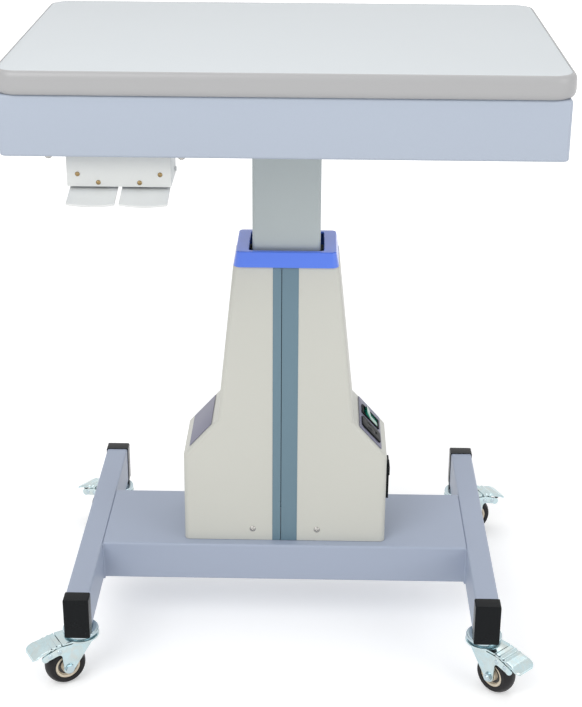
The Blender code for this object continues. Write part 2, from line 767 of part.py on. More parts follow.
def collar():
    """Blue collar: a drafted cap with a hole that the column passes with clearance."""
    hole = rounded(COLUMN_WIDE + 2 * COLLAR_CLEAR, COLUMN_DEEP + 2 * COLLAR_CLEAR, COLUMN_CORNER)
    top = COLLAR_UNDER + COLLAR_TALL

    def ring(inset, height):
        outline = rounded(COLLAR_WIDE - 2 * inset, COLLAR_DEEP - 2 * inset, COLLAR_CORNER - inset)
        return level(outline, height)

    soft = COLLAR_ROUND
    part_round = soft * BEND_SHARE
    rings = [ring(0, COLLAR_UNDER), ring(COLLAR_DRAFT, top - soft),
             ring(COLLAR_DRAFT + part_round, top - part_round), ring(COLLAR_DRAFT + soft, top),
             level(hole, top), level(hole, top - COLLAR_TOP),
             ring(COLLAR_DRAFT + COLLAR_WALL, top - COLLAR_TOP), ring(COLLAR_WALL, COLLAR_UNDER)]
    add("collar", skin(rings, loop=True), "blue_plastic")


def shoulder_fittings():
    """Switch panel, rocker and outlet on the right shoulder."""
    right = shoulder_frame(1)
    face = TOUCH + PANEL_THICK
    panel = prism(rounded(PANEL_LONG, PANEL_TALL, PANEL_CORNER, steps=2), TOUCH, face)
    middle = (SWITCH_OFFSET, 0.0)
    rim = prism(rounded(SWITCH_WIDE, SWITCH_TALL, SWITCH_RIM, middle), -SWITCH_DEEP, face + SWITCH_LIP)
    well = prism(rounded(SWITCH_WIDE - 2 * SWITCH_RIM, SWITCH_TALL - 2 * SWITCH_RIM, SWITCH_RIM / 4, middle),
                 -SWITCH_DEEP * 2, SWITCH_DEEP)
    body = SOCKET_BODY_INSET - TOUCH
    window = prism(rounded(SOCKET_WIDE - 2 * body, SOCKET_TALL - 2 * body, TOUCH, (SOCKET_OFFSET, 0.0), 1),
                   -SOCKET_DEEP, SOCKET_DEEP)
    add("switch_panel", posed(cut(joined(panel, rim), well, window), right), "plate_grey")

    half_wide = SWITCH_WIDE / 2 - SWITCH_RIM - TOUCH
    half_long = SWITCH_TALL / 2 - SWITCH_RIM - ROCKER_END_CLEAR
    side_view = [(half_long, ROCKER_CREST), (0.0, ROCKER_VALLEY), (-half_long, ROCKER_CREST)]
    side_view += arc((0.0, -ROCKER_PIVOT), ROCKER_BELLY, ROCKER_BELLY_FIRST, ROCKER_BELLY_LAST, BELLY_STEPS)
    rings = [[(x, y, z + ROCKER_PIVOT) for y, z in side_view] for x in (-half_wide, half_wide)]
    rocker = posed(skin(rings), Matrix.Rotation(math.radians(ROCKER_TILT), 4, "X"))
    axle = right @ Matrix.Translation((SWITCH_OFFSET, 0.0, face - ROCKER_PIVOT))
    turn = axle.to_3x3().to_4x4()
    add("power_rocker", posed(rocker, turn), "green_lens", location=axle.translation)

    outline = rounded(SOCKET_WIDE, SOCKET_TALL, SOCKET_CORNER, (SOCKET_OFFSET, 0.0), 2)
    lip = prism(outline, face + TOUCH, face + SOCKET_LIP)
    inset = SOCKET_BODY_INSET
    outline = rounded(SOCKET_WIDE - 2 * inset, SOCKET_TALL - 2 * inset, BODY_CORNER, (SOCKET_OFFSET, 0.0), 1)
    shell = prism(outline, face - SOCKET_DEEP, face + SOCKET_LIP - SINK)
    live = (-SLOT_PITCH / 2, SLOT_UP, SLOT_WIDE, SLOT_LONG)
    neutral = (SLOT_PITCH / 2, SLOT_UP, SLOT_WIDE, SLOT_LONG)
    earth = (0.0, -EARTH_SLOT_DOWN, SLOT_LONG, SLOT_WIDE)
    slots = []
    for x, y, wide, long in (live, neutral, earth):
        low = (SOCKET_OFFSET + x - wide / 2, y - long / 2, face + SOCKET_LIP - SLOT_DEEP)
        high = (SOCKET_OFFSET + x + wide / 2, y + long / 2, face + SOCKET_LIP * 2)
        slots.append(block(low, high))
    add("outlet_socket", posed(cut(joined(lip, shell), *slots), right), "black_plastic")


def mains_inlet():
    """Appliance inlet on the right wall: flange, recess with its pins, and the fuse drawer above."""
    flange = prism(rounded(INLET_WIDE, INLET_TALL, INLET_CORNER), TOUCH, INLET_LIP)
    inset = INLET_BODY_INSET
    body = prism(rounded(INLET_WIDE - 2 * inset, INLET_TALL - 2 * inset, BODY_CORNER, steps=1),
                 -INLET_DEEP, INLET_LIP - SINK)
    half = RECESS_WIDE / 2
    low = -RECESS_DROP - RECESS_TALL / 2
    high = -RECESS_DROP + RECESS_TALL / 2
    recess = [(half, low), (half, high - RECESS_CHAMFER), (half - RECESS_CHAMFER, high),
              (-half + RECESS_CHAMFER, high), (-half, high - RECESS_CHAMFER), (-half, low)]
    floor = INLET_LIP - RECESS_DEEP
    inlet = cut(joined(flange, body), prism(recess, floor, INLET_LIP * 2))
    pins = []
    for k in (-1, 0, 1):
        x = k * INLET_PIN_PITCH
        y = -RECESS_DROP + (INLET_PIN_TALL / 2 if k == 0 else 0.0)
        pins.append(block((x - INLET_PIN_WIDE / 2, y - INLET_PIN_TALL / 2, floor - SINK),
                          (x + INLET_PIN_WIDE / 2, y + INLET_PIN_TALL / 2, floor + INLET_PIN_LONG)))
    drawer_y = INLET_TALL / 2 - DRAWER_TALL
    drawer = prism(rounded(RECESS_WIDE, DRAWER_TALL, BODY_CORNER, (0.0, drawer_y), 2),
                   INLET_LIP - SINK, INLET_LIP + DRAWER_RISE)
    add("power_inlet", posed(joined(inlet, *pins, drawer), wall_frame()), "black_plastic")


# Drive inside the housing

def guide():
    """Fixed guide tube on its foot plate, and the wear ring in its mouth."""
    foot = rounded(FOOT_WIDE, FOOT_DEEP, GUIDE_CORNER)
    outer = rounded(GUIDE_WIDE, GUIDE_DEEP, GUIDE_CORNER)
    bore = rounded(GUIDE_BORE_WIDE, GUIDE_BORE_DEEP, GUIDE_CORNER - GUIDE_WALL)
    shelf = FOOT_UNDER + FOOT_THICK
    pocket = skin([level(foot, FOOT_UNDER), level(foot, shelf), level(outer, shelf), level(outer, GUIDE_TOP),
                   level(bore, GUIDE_TOP), level(bore, shelf)])
    hole = prism(circle(SCREW_RADIUS + FOOT_HOLE_CLEAR), 0.0, GUIDE_TOP)
    add("outer_column", cut(pocket, hole), "steel")

    sleeve = rounded(GUIDE_BORE_WIDE - 2 * TOUCH, GUIDE_BORE_DEEP - 2 * TOUCH, GUIDE_CORNER - GUIDE_WALL)
    inside = rounded(COLUMN_WIDE + 2 * TOUCH, COLUMN_DEEP + 2 * TOUCH, COLUMN_CORNER)
    seat = GUIDE_TOP + TOUCH
    rings = [level(sleeve, GUIDE_TOP - GLIDE_DEEP), level(sleeve, seat), level(outer, seat),
             level(outer, seat + GLIDE_LIP), level(inside, seat + GLIDE_LIP),
             level(inside, GUIDE_TOP - GLIDE_DEEP)]
    add("glide_collar", skin(rings, loop=True), "glide_white")


def bolt_places():
    """The four foot bolts."""
    return [(side * BOLT_SPREAD_X / 2, end * BOLT_SPREAD_Y / 2) for side in (-1, 1) for end in (-1, 1)]


def drive():
    """Gearbox under the screw, the screw, the motor beside the column and the transformer."""
    long = GEARBOX_RIGHT - GEARBOX_LEFT
    middle = (GEARBOX_RIGHT + GEARBOX_LEFT) / 2
    case = prism(rounded(long, GEARBOX_DEEP, GEARBOX_CORNER, (middle, 0.0)), GEARBOX_UNDER, GEARBOX_TOP)
    bearing = circle(JOURNAL_RADIUS + TOUCH, BOLT_STEPS)
    holes = [prism(bearing, GEARBOX_TOP - JOURNAL_LONG - TOUCH, GEARBOX_TOP * 2)]
    for spot in bolt_places():
        bore = circle(BOLT_RADIUS + TOUCH, RIVET_STEPS, spot)
        holes.append(prism(bore, 0.0, GEARBOX_UNDER + BOLT_BITE + TOUCH))
    add("gearbox", cut(case, *holes), "cast_alloy")

    foot = GEARBOX_TOP - JOURNAL_LONG
    start = GEARBOX_TOP + TOUCH
    top = foot + JOURNAL_LONG + SCREW_LONG
    profile = [(0, top), (SCREW_RADIUS - SCREW_CHAMFER, top), (SCREW_RADIUS, top - SCREW_CHAMFER),
               (SCREW_RADIUS, start), (JOURNAL_RADIUS, start), (JOURNAL_RADIUS, foot), (0, foot)]
    add("lead_screw", turned(profile, BOLT_STEPS), "steel")

    base = GEARBOX_TOP + TOUCH
    end = base + MOTOR_LONG
    lid = end - MOTOR_STEP
    neck = MOTOR_RADIUS - MOTOR_NECK_INSET
    profile = [(0, end), (MOTOR_BOSS, end), (MOTOR_BOSS, lid), (MOTOR_RADIUS - MOTOR_BEVEL, lid),
               (MOTOR_RADIUS, lid - MOTOR_BEVEL), (MOTOR_RADIUS, base + MOTOR_NECK_TALL),
               (neck, base + MOTOR_NECK_TALL), (neck, base), (0, base)]
    add("lift_motor", turned(profile), "motor_black", location=(MOTOR_X, 0, 0))

    left = GEARBOX_RIGHT + TOUCH
    bottom = BEAM_TOP + TOUCH
    stack = block((left, -CORE_DEEP / 2, bottom), (left + CORE_WIDE, CORE_DEEP / 2, bottom + CORE_STACK))
    coil_left = left + SINK
    coil_right = HOUSING_WIDE / 2 - INLET_DEEP - COIL_CLEAR
    coil_middle = ((coil_left + coil_right) / 2, 0.0)
    coil = prism(rounded(coil_right - coil_left, COIL_DEEP, COIL_CORNER, coil_middle), bottom + SINK,
                 bottom + CORE_TALL)
    add("transformer", joined(stack, coil), "motor_black")


# Base

def base_frame():
    """Cross beam, legs, end caps and foot bolts."""
    half = BASE_WIDE / 2 - LEG_WIDE - TOUCH
    outer = rounded(BEAM_TALL, BEAM_DEEP, BEAM_CORNER)
    inner = rounded(BEAM_TALL - 2 * BEAM_WALL, BEAM_DEEP - 2 * BEAM_WALL, BEAM_CORNER - BEAM_WALL)
    beam = moved(posed(tube(outer, inner, -half, half), ALONG_X), z=BEAM_TOP - BEAM_TALL / 2)
    bores = [circle(BOLT_RADIUS + TOUCH, RIVET_STEPS, spot) for spot in bolt_places()]
    add("cross_beam", cut(beam, *[prism(bore, 0.0, BEAM_TOP * 2) for bore in bores]), "base_paint")

    shank = BEAM_TALL + TOUCH + BOLT_BITE
    profile = [(0, shank), (BOLT_RADIUS, shank), (BOLT_RADIUS, 0), (BOLT_HEAD, 0),
               (BOLT_HEAD, -BOLT_HEAD_TALL), (0, -BOLT_HEAD_TALL)]
    mesh = mesh_of("foot_bolt", turned(profile, RIVET_STEPS), "steel")
    for number, (x, y) in enumerate(bolt_places(), 1):
        place(f"foot_bolt_{number}", mesh, None, (x, y, BEAM_TOP - BEAM_TALL - TOUCH))

    long = BASE_LONG - 2 * (CAP_FACE + TOUCH)
    outer = rounded(LEG_WIDE, LEG_TALL, LEG_CORNER)
    inner = rounded(LEG_WIDE - 2 * LEG_WALL, LEG_TALL - 2 * LEG_WALL, LEG_CORNER - LEG_WALL)
    for name, side in (("left_leg", -1), ("right_leg", 1)):
        leg = moved(posed(tube(outer, inner, -long / 2, long / 2), ALONG_Y), z=LEG_TOP - LEG_TALL / 2)
        bores = [circle(STEM_RADIUS + TOUCH, BOLT_STEPS, (0.0, end * CASTER_Y)) for end in (-1, 1)]
        stems = [prism(bore, 0.0, LEG_TOP - LEG_TALL / 2) for bore in bores]
        add(name, cut(leg, *stems), "base_paint", location=(side * CASTER_X, 0, 0))


def end_cap(name, side, end):
    """Push-on cap over the end of a leg, relieved below for the caster's seat."""
    lip = CAP_WALL + TOUCH

    def ring(grow, corner, along):
        return level(rounded(LEG_WIDE + 2 * grow, LEG_TALL + 2 * grow, corner), along)

    inside = LEG_CORNER + TOUCH
    cap = skin([ring(lip - CAP_SOFT, CAP_CORNER, 0.0), ring(lip, CAP_CORNER, CAP_SOFT),
                ring(lip, CAP_CORNER, CAP_LONG), ring(TOUCH, inside, CAP_LONG),
                ring(TOUCH, inside, CAP_FACE)])
    facing = ALONG_Y if end < 0 else ALONG_Y.inverted()
    cap = moved(posed(cap, facing), 0, end * BASE_LONG / 2, LEG_TOP - LEG_TALL / 2)
    add(name, cap, "black_plastic", location=(side * CASTER_X, 0, 0))


# Casters

def race_mesh():
    """Threaded stem with its nut, swivel race and king pin, turned about the swivel axis."""
    seat = CASTER_TALL - TOUCH
    floor = CASTER_TALL + LEG_WALL + TOUCH
    shelf = RACE_UNDER + RACE_NECK_TALL
    neck = FORK_UNDER - TOUCH
    stem = [(0, seat + STEM_LONG), (STEM_RADIUS, seat + STEM_LONG), (STEM_RADIUS, floor + STEM_NUT_TALL),
            (STEM_NUT, floor + STEM_NUT_TALL), (STEM_NUT, floor), (STEM_RADIUS, floor), (STEM_RADIUS, seat)]
    race = [(RACE_SEAT, seat), (RACE_SEAT, RACE_TOP), (RACE_RADIUS - RACE_SOFT, RACE_TOP),
            (RACE_RADIUS, RACE_TOP - RACE_SOFT), (RACE_RADIUS, shelf), (RACE_NECK, shelf),
            (RACE_NECK, RACE_UNDER)]
    king = [(KING_RADIUS, RACE_UNDER), (KING_RADIUS, neck), (KING_HEAD, neck),
            (KING_HEAD, neck - KING_HEAD_TALL), (0, neck - KING_HEAD_TALL)]
    return mesh_of("caster_race", turned(stem + race + king, RACE_STEPS), "zinc")


def cheek(middle_y):
    """One side of the fork: shoulder, sloping arm, hooked nose, crotch over the wheel and axle eye."""
    nose = (CASTER_TRAIL + NOSE_OUT, WHEEL_RADIUS + NOSE_UP)
    crotch = (CASTER_TRAIL + CROTCH_OUT, WHEEL_RADIUS + CROTCH_UP)
    flush = FORK_TOP - SINK
    outline = [(-FORK_REAR, flush), (CHEEK_SHOULDER, flush),
               (CHEEK_SHOULDER + CHEEK_DROP, FORK_TOP - CHEEK_DROP), (ARM_KNEE, FORK_TOP - ARM_KNEE_DROP)]
    outline += arc(nose, NOSE_RADIUS, NOSE_FIRST, NOSE_LAST, NOSE_STEPS)
    outline += arc(crotch, CROTCH_RADIUS, CROTCH_FIRST, 180, CROTCH_STEPS)
    outline += arc((CASTER_TRAIL, WHEEL_RADIUS), FORK_EYE, FORK_EYE_FIRST, FORK_EYE_LAST, EYE_STEPS)
    half = FORK_SHEET / 2
    return skin([[(x, y, z) for x, z in outline] for y in (middle_y - half, middle_y + half)])


def rivet(x, z):
    """Pin across the fork with a low round head on the outside of each cheek."""
    end = FORK_WIDE / 2 - SINK
    outside = FORK_WIDE / 2 + RIVET_RISE
    pin = circle(RIVET_RADIUS, RIVET_STEPS)
    head = circle(RIVET_HEAD, RIVET_STEPS)
    rings = [level(head, -outside), level(head, -end), level(pin, -end), level(pin, end), level(head, end),
             level(head, outside)]
    return moved(posed(skin(rings), ALONG_Y), x, 0, z)


def fork_mesh():
    """Stamped fork: round top with a tongue, two cheeks, the pedal's hinge pin and a second rivet."""
    half = FORK_WIDE / 2
    spread = math.degrees(math.asin(half / FORK_RADIUS))
    top = arc((0.0, 0.0), FORK_RADIUS, spread, 360 - spread, RACE_STEPS)
    top += [(FORK_TONGUE, -half), (FORK_TONGUE, half)]
    fork = prism(top, FORK_UNDER, FORK_TOP)
    middle = half - FORK_SHEET / 2
    hinge = rivet(PIVOT_X, PIVOT_Z)
    second = rivet(CASTER_TRAIL + SECOND_RIVET_OUT, WHEEL_RADIUS + SECOND_RIVET_UP)
    inside = half - FORK_SHEET
    between = block((PIVOT_X + 2 * RIVET_RADIUS, -inside, 0.0), (PIVOT_X + FORK_WIDE, inside, FORK_UNDER))
    fork = joined(fork, cheek(-middle), cheek(middle), hinge, cut(second, between))
    span = FORK_WIDE * 2
    axle = posed(prism(circle(AXLE_RADIUS + TOUCH, BOLT_STEPS), -span, span), ALONG_Y)
    king = prism(circle(KING_RADIUS + TOUCH, RACE_STEPS), 0.0, CASTER_TALL)
    return mesh_of("caster_fork", cut(fork, king, moved(axle, CASTER_TRAIL, 0, WHEEL_RADIUS)), "zinc")


def wheel_meshes():
    """Axle bolt, dished hub and crowned tread, all about the axle's axis along Y."""
    axle = posed(bolt(AXLE_RADIUS, AXLE_HEAD, FORK_WIDE + 2 * TOUCH, AXLE_HEAD_TALL), ALONG_Y)
    half = WHEEL_WIDE / 2
    gap = (FORK_WIDE - WHEEL_WIDE) / 2 - FORK_SHEET - TOUCH
    boss_end = half + gap
    rim = WHEEL_RADIUS - TREAD_DEEP
    bore = AXLE_RADIUS + TOUCH
    face = half - HUB_SET_IN
    near = [(bore, boss_end), (HUB_BOSS, boss_end), (HUB_BOSS, face - HUB_DISH),
            (rim - HUB_RIM, face - HUB_DISH), (rim - HUB_RIM, face), (rim, face)]
    hub_profile = near + [(radius, -height) for radius, height in reversed(near)]
    hub = posed(turned(hub_profile, HUB_STEPS), ALONG_Y)
    seat = rim + TOUCH
    crown = [(seat, half), (WHEEL_RADIUS - SHOULDER_FALL, half), (WHEEL_RADIUS - CROWN_FALL, CROWN_HALF),
             (WHEEL_RADIUS, FLAT_HALF)]
    tread_profile = crown + [(radius, -height) for radius, height in reversed(crown)]
    tread = posed(turned(tread_profile, WHEEL_STEPS), ALONG_Y)
    return (mesh_of("caster_axle", axle, "zinc"), mesh_of("caster_hub", hub, "hub_cream"),
            mesh_of("caster_tyre", tread, "tyre_black"))


def pedal_mesh():
    """Brake pedal about its hinge pin: sloping foot plate, two lugs and the tongue with the shoe."""
    start = FORK_TONGUE + PEDAL_GAP - PIVOT_X
    end = PEDAL_REACH - PIVOT_X
    high = FORK_TOP - PIVOT_Z
    half = FORK_WIDE / 2

    def top_at(x):
        return high - PEDAL_DROP * ((x - start) / (end - start)) ** PEDAL_BEND

    rings = []
    for k in range(PEDAL_STATIONS + 1):
        t = k / PEDAL_STATIONS
        x = start + (end - start) * t
        top = top_at(x)
        low = top - PEDAL_SHEET
        wide = half + (PEDAL_FLARE * t if k < PEDAL_STATIONS else -PEDAL_FLARE)
        rings.append([(x, -wide, low), (x, wide, low), (x, wide, top), (x, -wide, top)])
    sheet = skin(rings)

    under = high - PEDAL_SHEET + SINK
    lug_outside = half - FORK_SHEET - TOUCH
    lugs = []
    for side in (-1, 1):
        side_view = [(LUG_EYE, under - LUG_DIP), (start + PEDAL_SHEET, under)]
        side_view += arc((0, 0), LUG_EYE, LUG_FIRST, LUG_LAST, LUG_STEPS)
        faces = sorted((side * lug_outside, side * (lug_outside - LUG_SHEET)))
        lugs.append(skin([[(x, y, z) for x, z in side_view] for y in faces]))

    wheel = (-PEDAL_PIVOT_OUT, -PEDAL_PIVOT_UP)
    shoe = arc(wheel, WHEEL_RADIUS + SHOE_CLEAR, SHOE_LAST, SHOE_FIRST, SHOE_STEPS)
    back = arc(wheel, WHEEL_RADIUS + SHOE_CLEAR + SHOE_THICK, SHOE_FIRST, SHOE_LAST, SHOE_STEPS)
    root = back[0][0] + SHOE_THICK / 2
    stem = [(root, top_at(root) - PEDAL_SHEET + SINK)]
    stem += [(root - SHOE_THICK, top_at(root - SHOE_THICK) - PEDAL_SHEET + SINK)]
    outline = shoe + [back[0]] + stem + [back[2]]
    tongue = skin([[(x, y, z) for x, z in outline] for y in (-SHOE_WIDE / 2, SHOE_WIDE / 2)])
    bore = posed(prism(circle(RIVET_RADIUS + TOUCH, RIVET_STEPS), -FORK_WIDE, FORK_WIDE), ALONG_Y)
    return mesh_of("caster_pedal", cut(joined(sheet, *lugs, tongue), bore), "zinc")


def casters():
    """Four casters that share their meshes, each turned as it was left."""
    race = race_mesh()
    fork = fork_mesh()
    axle, hub, tyre = wheel_meshes()
    pedal = pedal_mesh()
    for name, angle in SWIVEL_ANGLES.items():
        side = -1 if name.endswith("left") else 1
        end = -1 if name.startswith("front") else 1
        spot = (side * CASTER_X, end * CASTER_Y, 0.0)
        place(name + "_race", race, None, spot)
        swivel = pivot(name + "_swivel", spot, angle)
        place(name + "_fork", fork, swivel)
        wheel = pivot(name + "_wheel", (CASTER_TRAIL, 0.0, WHEEL_RADIUS), 0.0, swivel)
        place(name + "_axle", axle, wheel)
        place(name + "_hub", hub, wheel)
        place(name + "_tyre", tyre, wheel)
        place(name + "_pedal", pedal, swivel, (PIVOT_X, 0.0, PIVOT_Z))
        end_cap(name + "_cap", side, end)


def main():
    for obj in list(bpy.data.objects):
        bpy.data.objects.remove(obj)
    head = pivot("lifting_head", (0.0, 0.0, 0.0))
    table_top(head)
    tray(head)
    lifting_column(head)
    control_cover(head)
    control_switches(head)
    paddle("up_paddle", -1, head)
    paddle("down_paddle", 1, head)
    covers()
    collar()
    shoulder_fittings()
    mains_inlet()
    guide()
    drive()
    base_frame()
    casters()


main()
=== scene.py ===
"""Looks of a motorised instrument table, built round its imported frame."""
import json
import math

import bmesh
import bpy
from bpy.props import FloatProperty, FloatVectorProperty, IntProperty, PointerProperty
from mathutils import Matrix, Vector


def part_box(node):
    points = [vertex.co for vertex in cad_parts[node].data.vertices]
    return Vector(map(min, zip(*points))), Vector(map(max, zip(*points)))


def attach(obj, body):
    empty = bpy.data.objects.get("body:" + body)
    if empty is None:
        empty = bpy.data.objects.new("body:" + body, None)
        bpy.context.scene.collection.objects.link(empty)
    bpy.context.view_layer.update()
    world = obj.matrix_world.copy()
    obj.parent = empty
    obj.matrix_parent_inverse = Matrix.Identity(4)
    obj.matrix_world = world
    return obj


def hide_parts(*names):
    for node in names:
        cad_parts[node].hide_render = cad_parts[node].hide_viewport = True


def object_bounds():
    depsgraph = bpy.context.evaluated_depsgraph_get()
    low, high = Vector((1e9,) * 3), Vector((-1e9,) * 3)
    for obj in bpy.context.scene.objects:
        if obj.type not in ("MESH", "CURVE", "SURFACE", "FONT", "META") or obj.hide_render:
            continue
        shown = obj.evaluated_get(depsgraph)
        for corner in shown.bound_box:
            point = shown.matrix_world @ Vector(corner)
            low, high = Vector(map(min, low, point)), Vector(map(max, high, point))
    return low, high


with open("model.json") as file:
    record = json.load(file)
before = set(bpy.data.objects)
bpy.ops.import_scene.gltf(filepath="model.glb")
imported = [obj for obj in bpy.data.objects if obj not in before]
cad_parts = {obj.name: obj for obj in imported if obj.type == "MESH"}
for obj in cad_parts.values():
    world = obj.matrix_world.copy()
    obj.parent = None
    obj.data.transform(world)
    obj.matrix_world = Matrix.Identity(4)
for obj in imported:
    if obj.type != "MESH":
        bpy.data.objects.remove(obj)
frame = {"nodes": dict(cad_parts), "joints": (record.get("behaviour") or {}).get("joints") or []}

bl_info = {
    "name": "Instrument Table",
    "version": (1, 0, 0),
    "blender": (4, 5, 0),
    "location": "View3D > Sidebar > Instrument Table",
    "description": "Dresses the frame of a motorised instrument table",
    "category": "Object",
}

CAD_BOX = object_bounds()
CASTER_NAMES = ("front_left", "front_right", "rear_left", "rear_right")
JOINTS = {joint["name"]: joint for joint in frame["joints"]}

# Gap between pieces that touch, and the distance within which two points are one
HAIR = 0.0003
MERGE = 0.00001
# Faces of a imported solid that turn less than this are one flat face
FLAT = math.radians(1.0)
# Edges that turn more than this many degrees stay sharp in the shading
SHARP = 38.0
# How far the middle of a rounded edge lies from each of its faces, as a share of the radius
BEND_SHARE = 1 - math.sqrt(0.5)
# Facets of the table top's corners, and of the nose of its band
TOP_STEPS = 14
NOSE_STEPS = 10
# First angle, last angle and steps of the arcs round a caster's cheek
STEP_SWEEP = (180, 260, 4)
HOOK_SWEEP = (62, -140, 12)
CROTCH_SWEEP = (80, 180, 8)
EYE_SWEEP = (20, -155, 16)
# The same for the eyes of a brake pedal's lugs
LUG_SWEEP = (170, 370, 14)
# Turns that lay a shape's Z along X or along Y
ALONG_X = Matrix.Rotation(math.radians(90), 4, "Y")
ALONG_Y = Matrix.Rotation(math.radians(-90), 4, "X")


# Outlines and solids

def rounded(wide, deep, radius, middle=(0.0, 0.0), steps=8):
    """Counter-clockwise outline of a rectangle with rounded corners."""
    points = []
    for quarter, (side, end) in enumerate(((1, 1), (-1, 1), (-1, -1), (1, -1))):
        corner = (middle[0] + side * (wide / 2 - radius), middle[1] + end * (deep / 2 - radius))
        points += arc(corner, radius, 90 * quarter, 90 * quarter + 90, steps)
    return points


def arc(middle, radius, first, last, steps):
    """Points on an arc, angles in degrees."""
    turns = [math.radians(first + (last - first) * step / steps) for step in range(steps + 1)]
    return [(middle[0] + radius * math.cos(t), middle[1] + radius * math.sin(t)) for t in turns]


def circle(radius, steps=24):
    """Points round a full circle."""
    return arc((0.0, 0.0), radius, 0, 360 - 360 / steps, steps - 1)


def level(outline, height):
    """An outline lifted to a height."""
    return [(x, y, height) for x, y in outline]


def skin(rings, loop=False):
    """Solid from rings of equal length, capped at both ends or closed on itself."""
    bm = bmesh.new()
    rows = [[bm.verts.new(point) for point in ring] for ring in rings]
    pairs = list(zip(rows, rows[1:]))
    if loop:
        pairs.append((rows[-1], rows[0]))
    for low, high in pairs:
        for k in range(len(low)):
            after = (k + 1) % len(low)
            bm.faces.new((low[k], low[after], high[after], high[k]))
    if not loop:
        bm.faces.new(list(reversed(rows[0])))
        bm.faces.new(rows[-1])
    bmesh.ops.recalc_face_normals(bm, faces=bm.faces[:])
    return bm


def prism(outline, low, high):
    """Outline extruded along Z."""
    return skin([level(outline, low), level(outline, high)])


def slab(outline, first, last):
    """Side view of (x, z) points extruded along Y."""
    return skin([[(x, y, z) for x, z in outline] for y in sorted((first, last))])


def tube_between(outer, inner, low, high):
    """Tube along Z from an outer and an inner outline."""
    return skin([level(outer, low), level(outer, high), level(inner, high), level(inner, low)], loop=True)


def box_tube(wide, deep, corner, wall, low, high):
    """Rectangular tube along Z with rounded edges."""
    inner = rounded(wide - 2 * wall, deep - 2 * wall, corner - wall)
    return tube_between(rounded(wide, deep, corner), inner, low, high)


def block(low, high):
    """Box between two corners."""
    outline = [(low[0], low[1]), (high[0], low[1]), (high[0], high[1]), (low[0], high[1])]
    return prism(outline, low[2], high[2])


def turned(profile, steps=48):
    """Closed profile of (radius, height) points turned about Z; points on the axis are merged."""
    bm = bmesh.new()
    verts = [bm.verts.new((radius, 0.0, height)) for radius, height in profile]
    pairs = list(zip(verts, verts[1:]))
    if min(radius for radius, _ in profile) > 0:
        pairs.append((verts[-1], verts[0]))
    edges = [bm.edges.new(pair) for pair in pairs]
    bmesh.ops.spin(bm, geom=verts + edges, cent=(0, 0, 0), axis=(0, 0, 1), dvec=(0, 0, 0),
                   angle=2 * math.pi, steps=steps, use_merge=True, use_duplicate=False)
    bmesh.ops.remove_doubles(bm, verts=bm.verts[:], dist=MERGE / 10)
    bmesh.ops.recalc_face_normals(bm, faces=bm.faces[:])
    return bm


def posed(bm, matrix):
    """The same solid, placed by a matrix."""
    bm.transform(matrix)
    return bm


def softened(bm, width, segments=2, angle=32.0):
    """The same solid with its sharp edges rounded."""
    limit = math.radians(angle)
    edges = [e for e in bm.edges if len(e.link_faces) == 2 and e.calc_face_angle(0.0) > limit]
    bmesh.ops.bevel(bm, geom=edges, offset=width, offset_type="OFFSET", segments=segments, profile=0.5,
                    affect="EDGES", clamp_overlap=True)
    return bm


def boolean(bm, tools, operation):
    """Tools joined to a solid, or cut out of it, one after another."""
    def stand(solid):
        mesh = bpy.data.meshes.new("work")
        solid.to_mesh(mesh)
        solid.free()
        obj = bpy.data.objects.new("work", mesh)
        bpy.context.scene.collection.objects.link(obj)
        return obj

    body = stand(bm)
    helpers = [stand(tool) for tool in tools]
    for helper in helpers:
        modifier = body.modifiers.new(operation.lower(), "BOOLEAN")
        modifier.operation = operation
        modifier.solver = "EXACT"
        modifier.object = helper
    graph = bpy.context.evaluated_depsgraph_get()
    result = bmesh.new()
    result.from_mesh(body.evaluated_get(graph).to_mesh())
    for obj in [body] + helpers:
        mesh = obj.data
        bpy.data.objects.remove(obj)
        bpy.data.meshes.remove(mesh)
    return result


def joined(bm, *tools):
    """One solid made of overlapping ones."""
    return boolean(bm, tools, "UNION")


def cut(bm, *tools):
    """A solid with the tools cut out."""
    return boolean(bm, tools, "DIFFERENCE")


def refined(node, width, segments=2):
    """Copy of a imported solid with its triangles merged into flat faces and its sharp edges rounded."""
    bm = bmesh.new()
    bm.from_mesh(frame["nodes"][node].data)
    bmesh.ops.remove_doubles(bm, verts=bm.verts[:], dist=MERGE)
    bmesh.ops.dissolve_limit(bm, angle_limit=FLAT, use_dissolve_boundaries=False,
                             verts=bm.verts[:], edges=bm.edges[:], delimit=set())
    return softened(bm, width, segments)


def piece(name, shape, material, body, nodes=(), sharp=SHARP):
    """A finished piece from a solid or a mesh: it rides on its body and stands for the nodes named."""
    mesh = shape
    if isinstance(shape, bmesh.types.BMesh):
        mesh = bpy.data.meshes.new(name)
        shape.to_mesh(mesh)
        shape.free()
    mesh.materials.clear()
    mesh.materials.append(material)
    mesh.shade_smooth()
    mesh.set_sharp_from_angle(angle=math.radians(sharp))
    obj = bpy.data.objects.new(name, mesh)
    bpy.context.scene.collection.objects.link(obj)
    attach(obj, body)
    if nodes:
        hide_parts(*nodes)
    return obj


def dress(nodes, material):
    """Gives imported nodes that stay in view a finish."""
    for node in nodes:
        mesh = frame["nodes"][node].data
        mesh.materials.clear()
        mesh.materials.append(material)


# Node helpers

FLOAT = "NodeSocketFloat"
COLOUR = "NodeSocketColor"
VECTOR = "NodeSocketVector"
GEOMETRY = "NodeSocketGeometry"
MATERIAL = "NodeSocketMaterial"
WHITE = (1.0, 1.0, 1.0, 1.0)


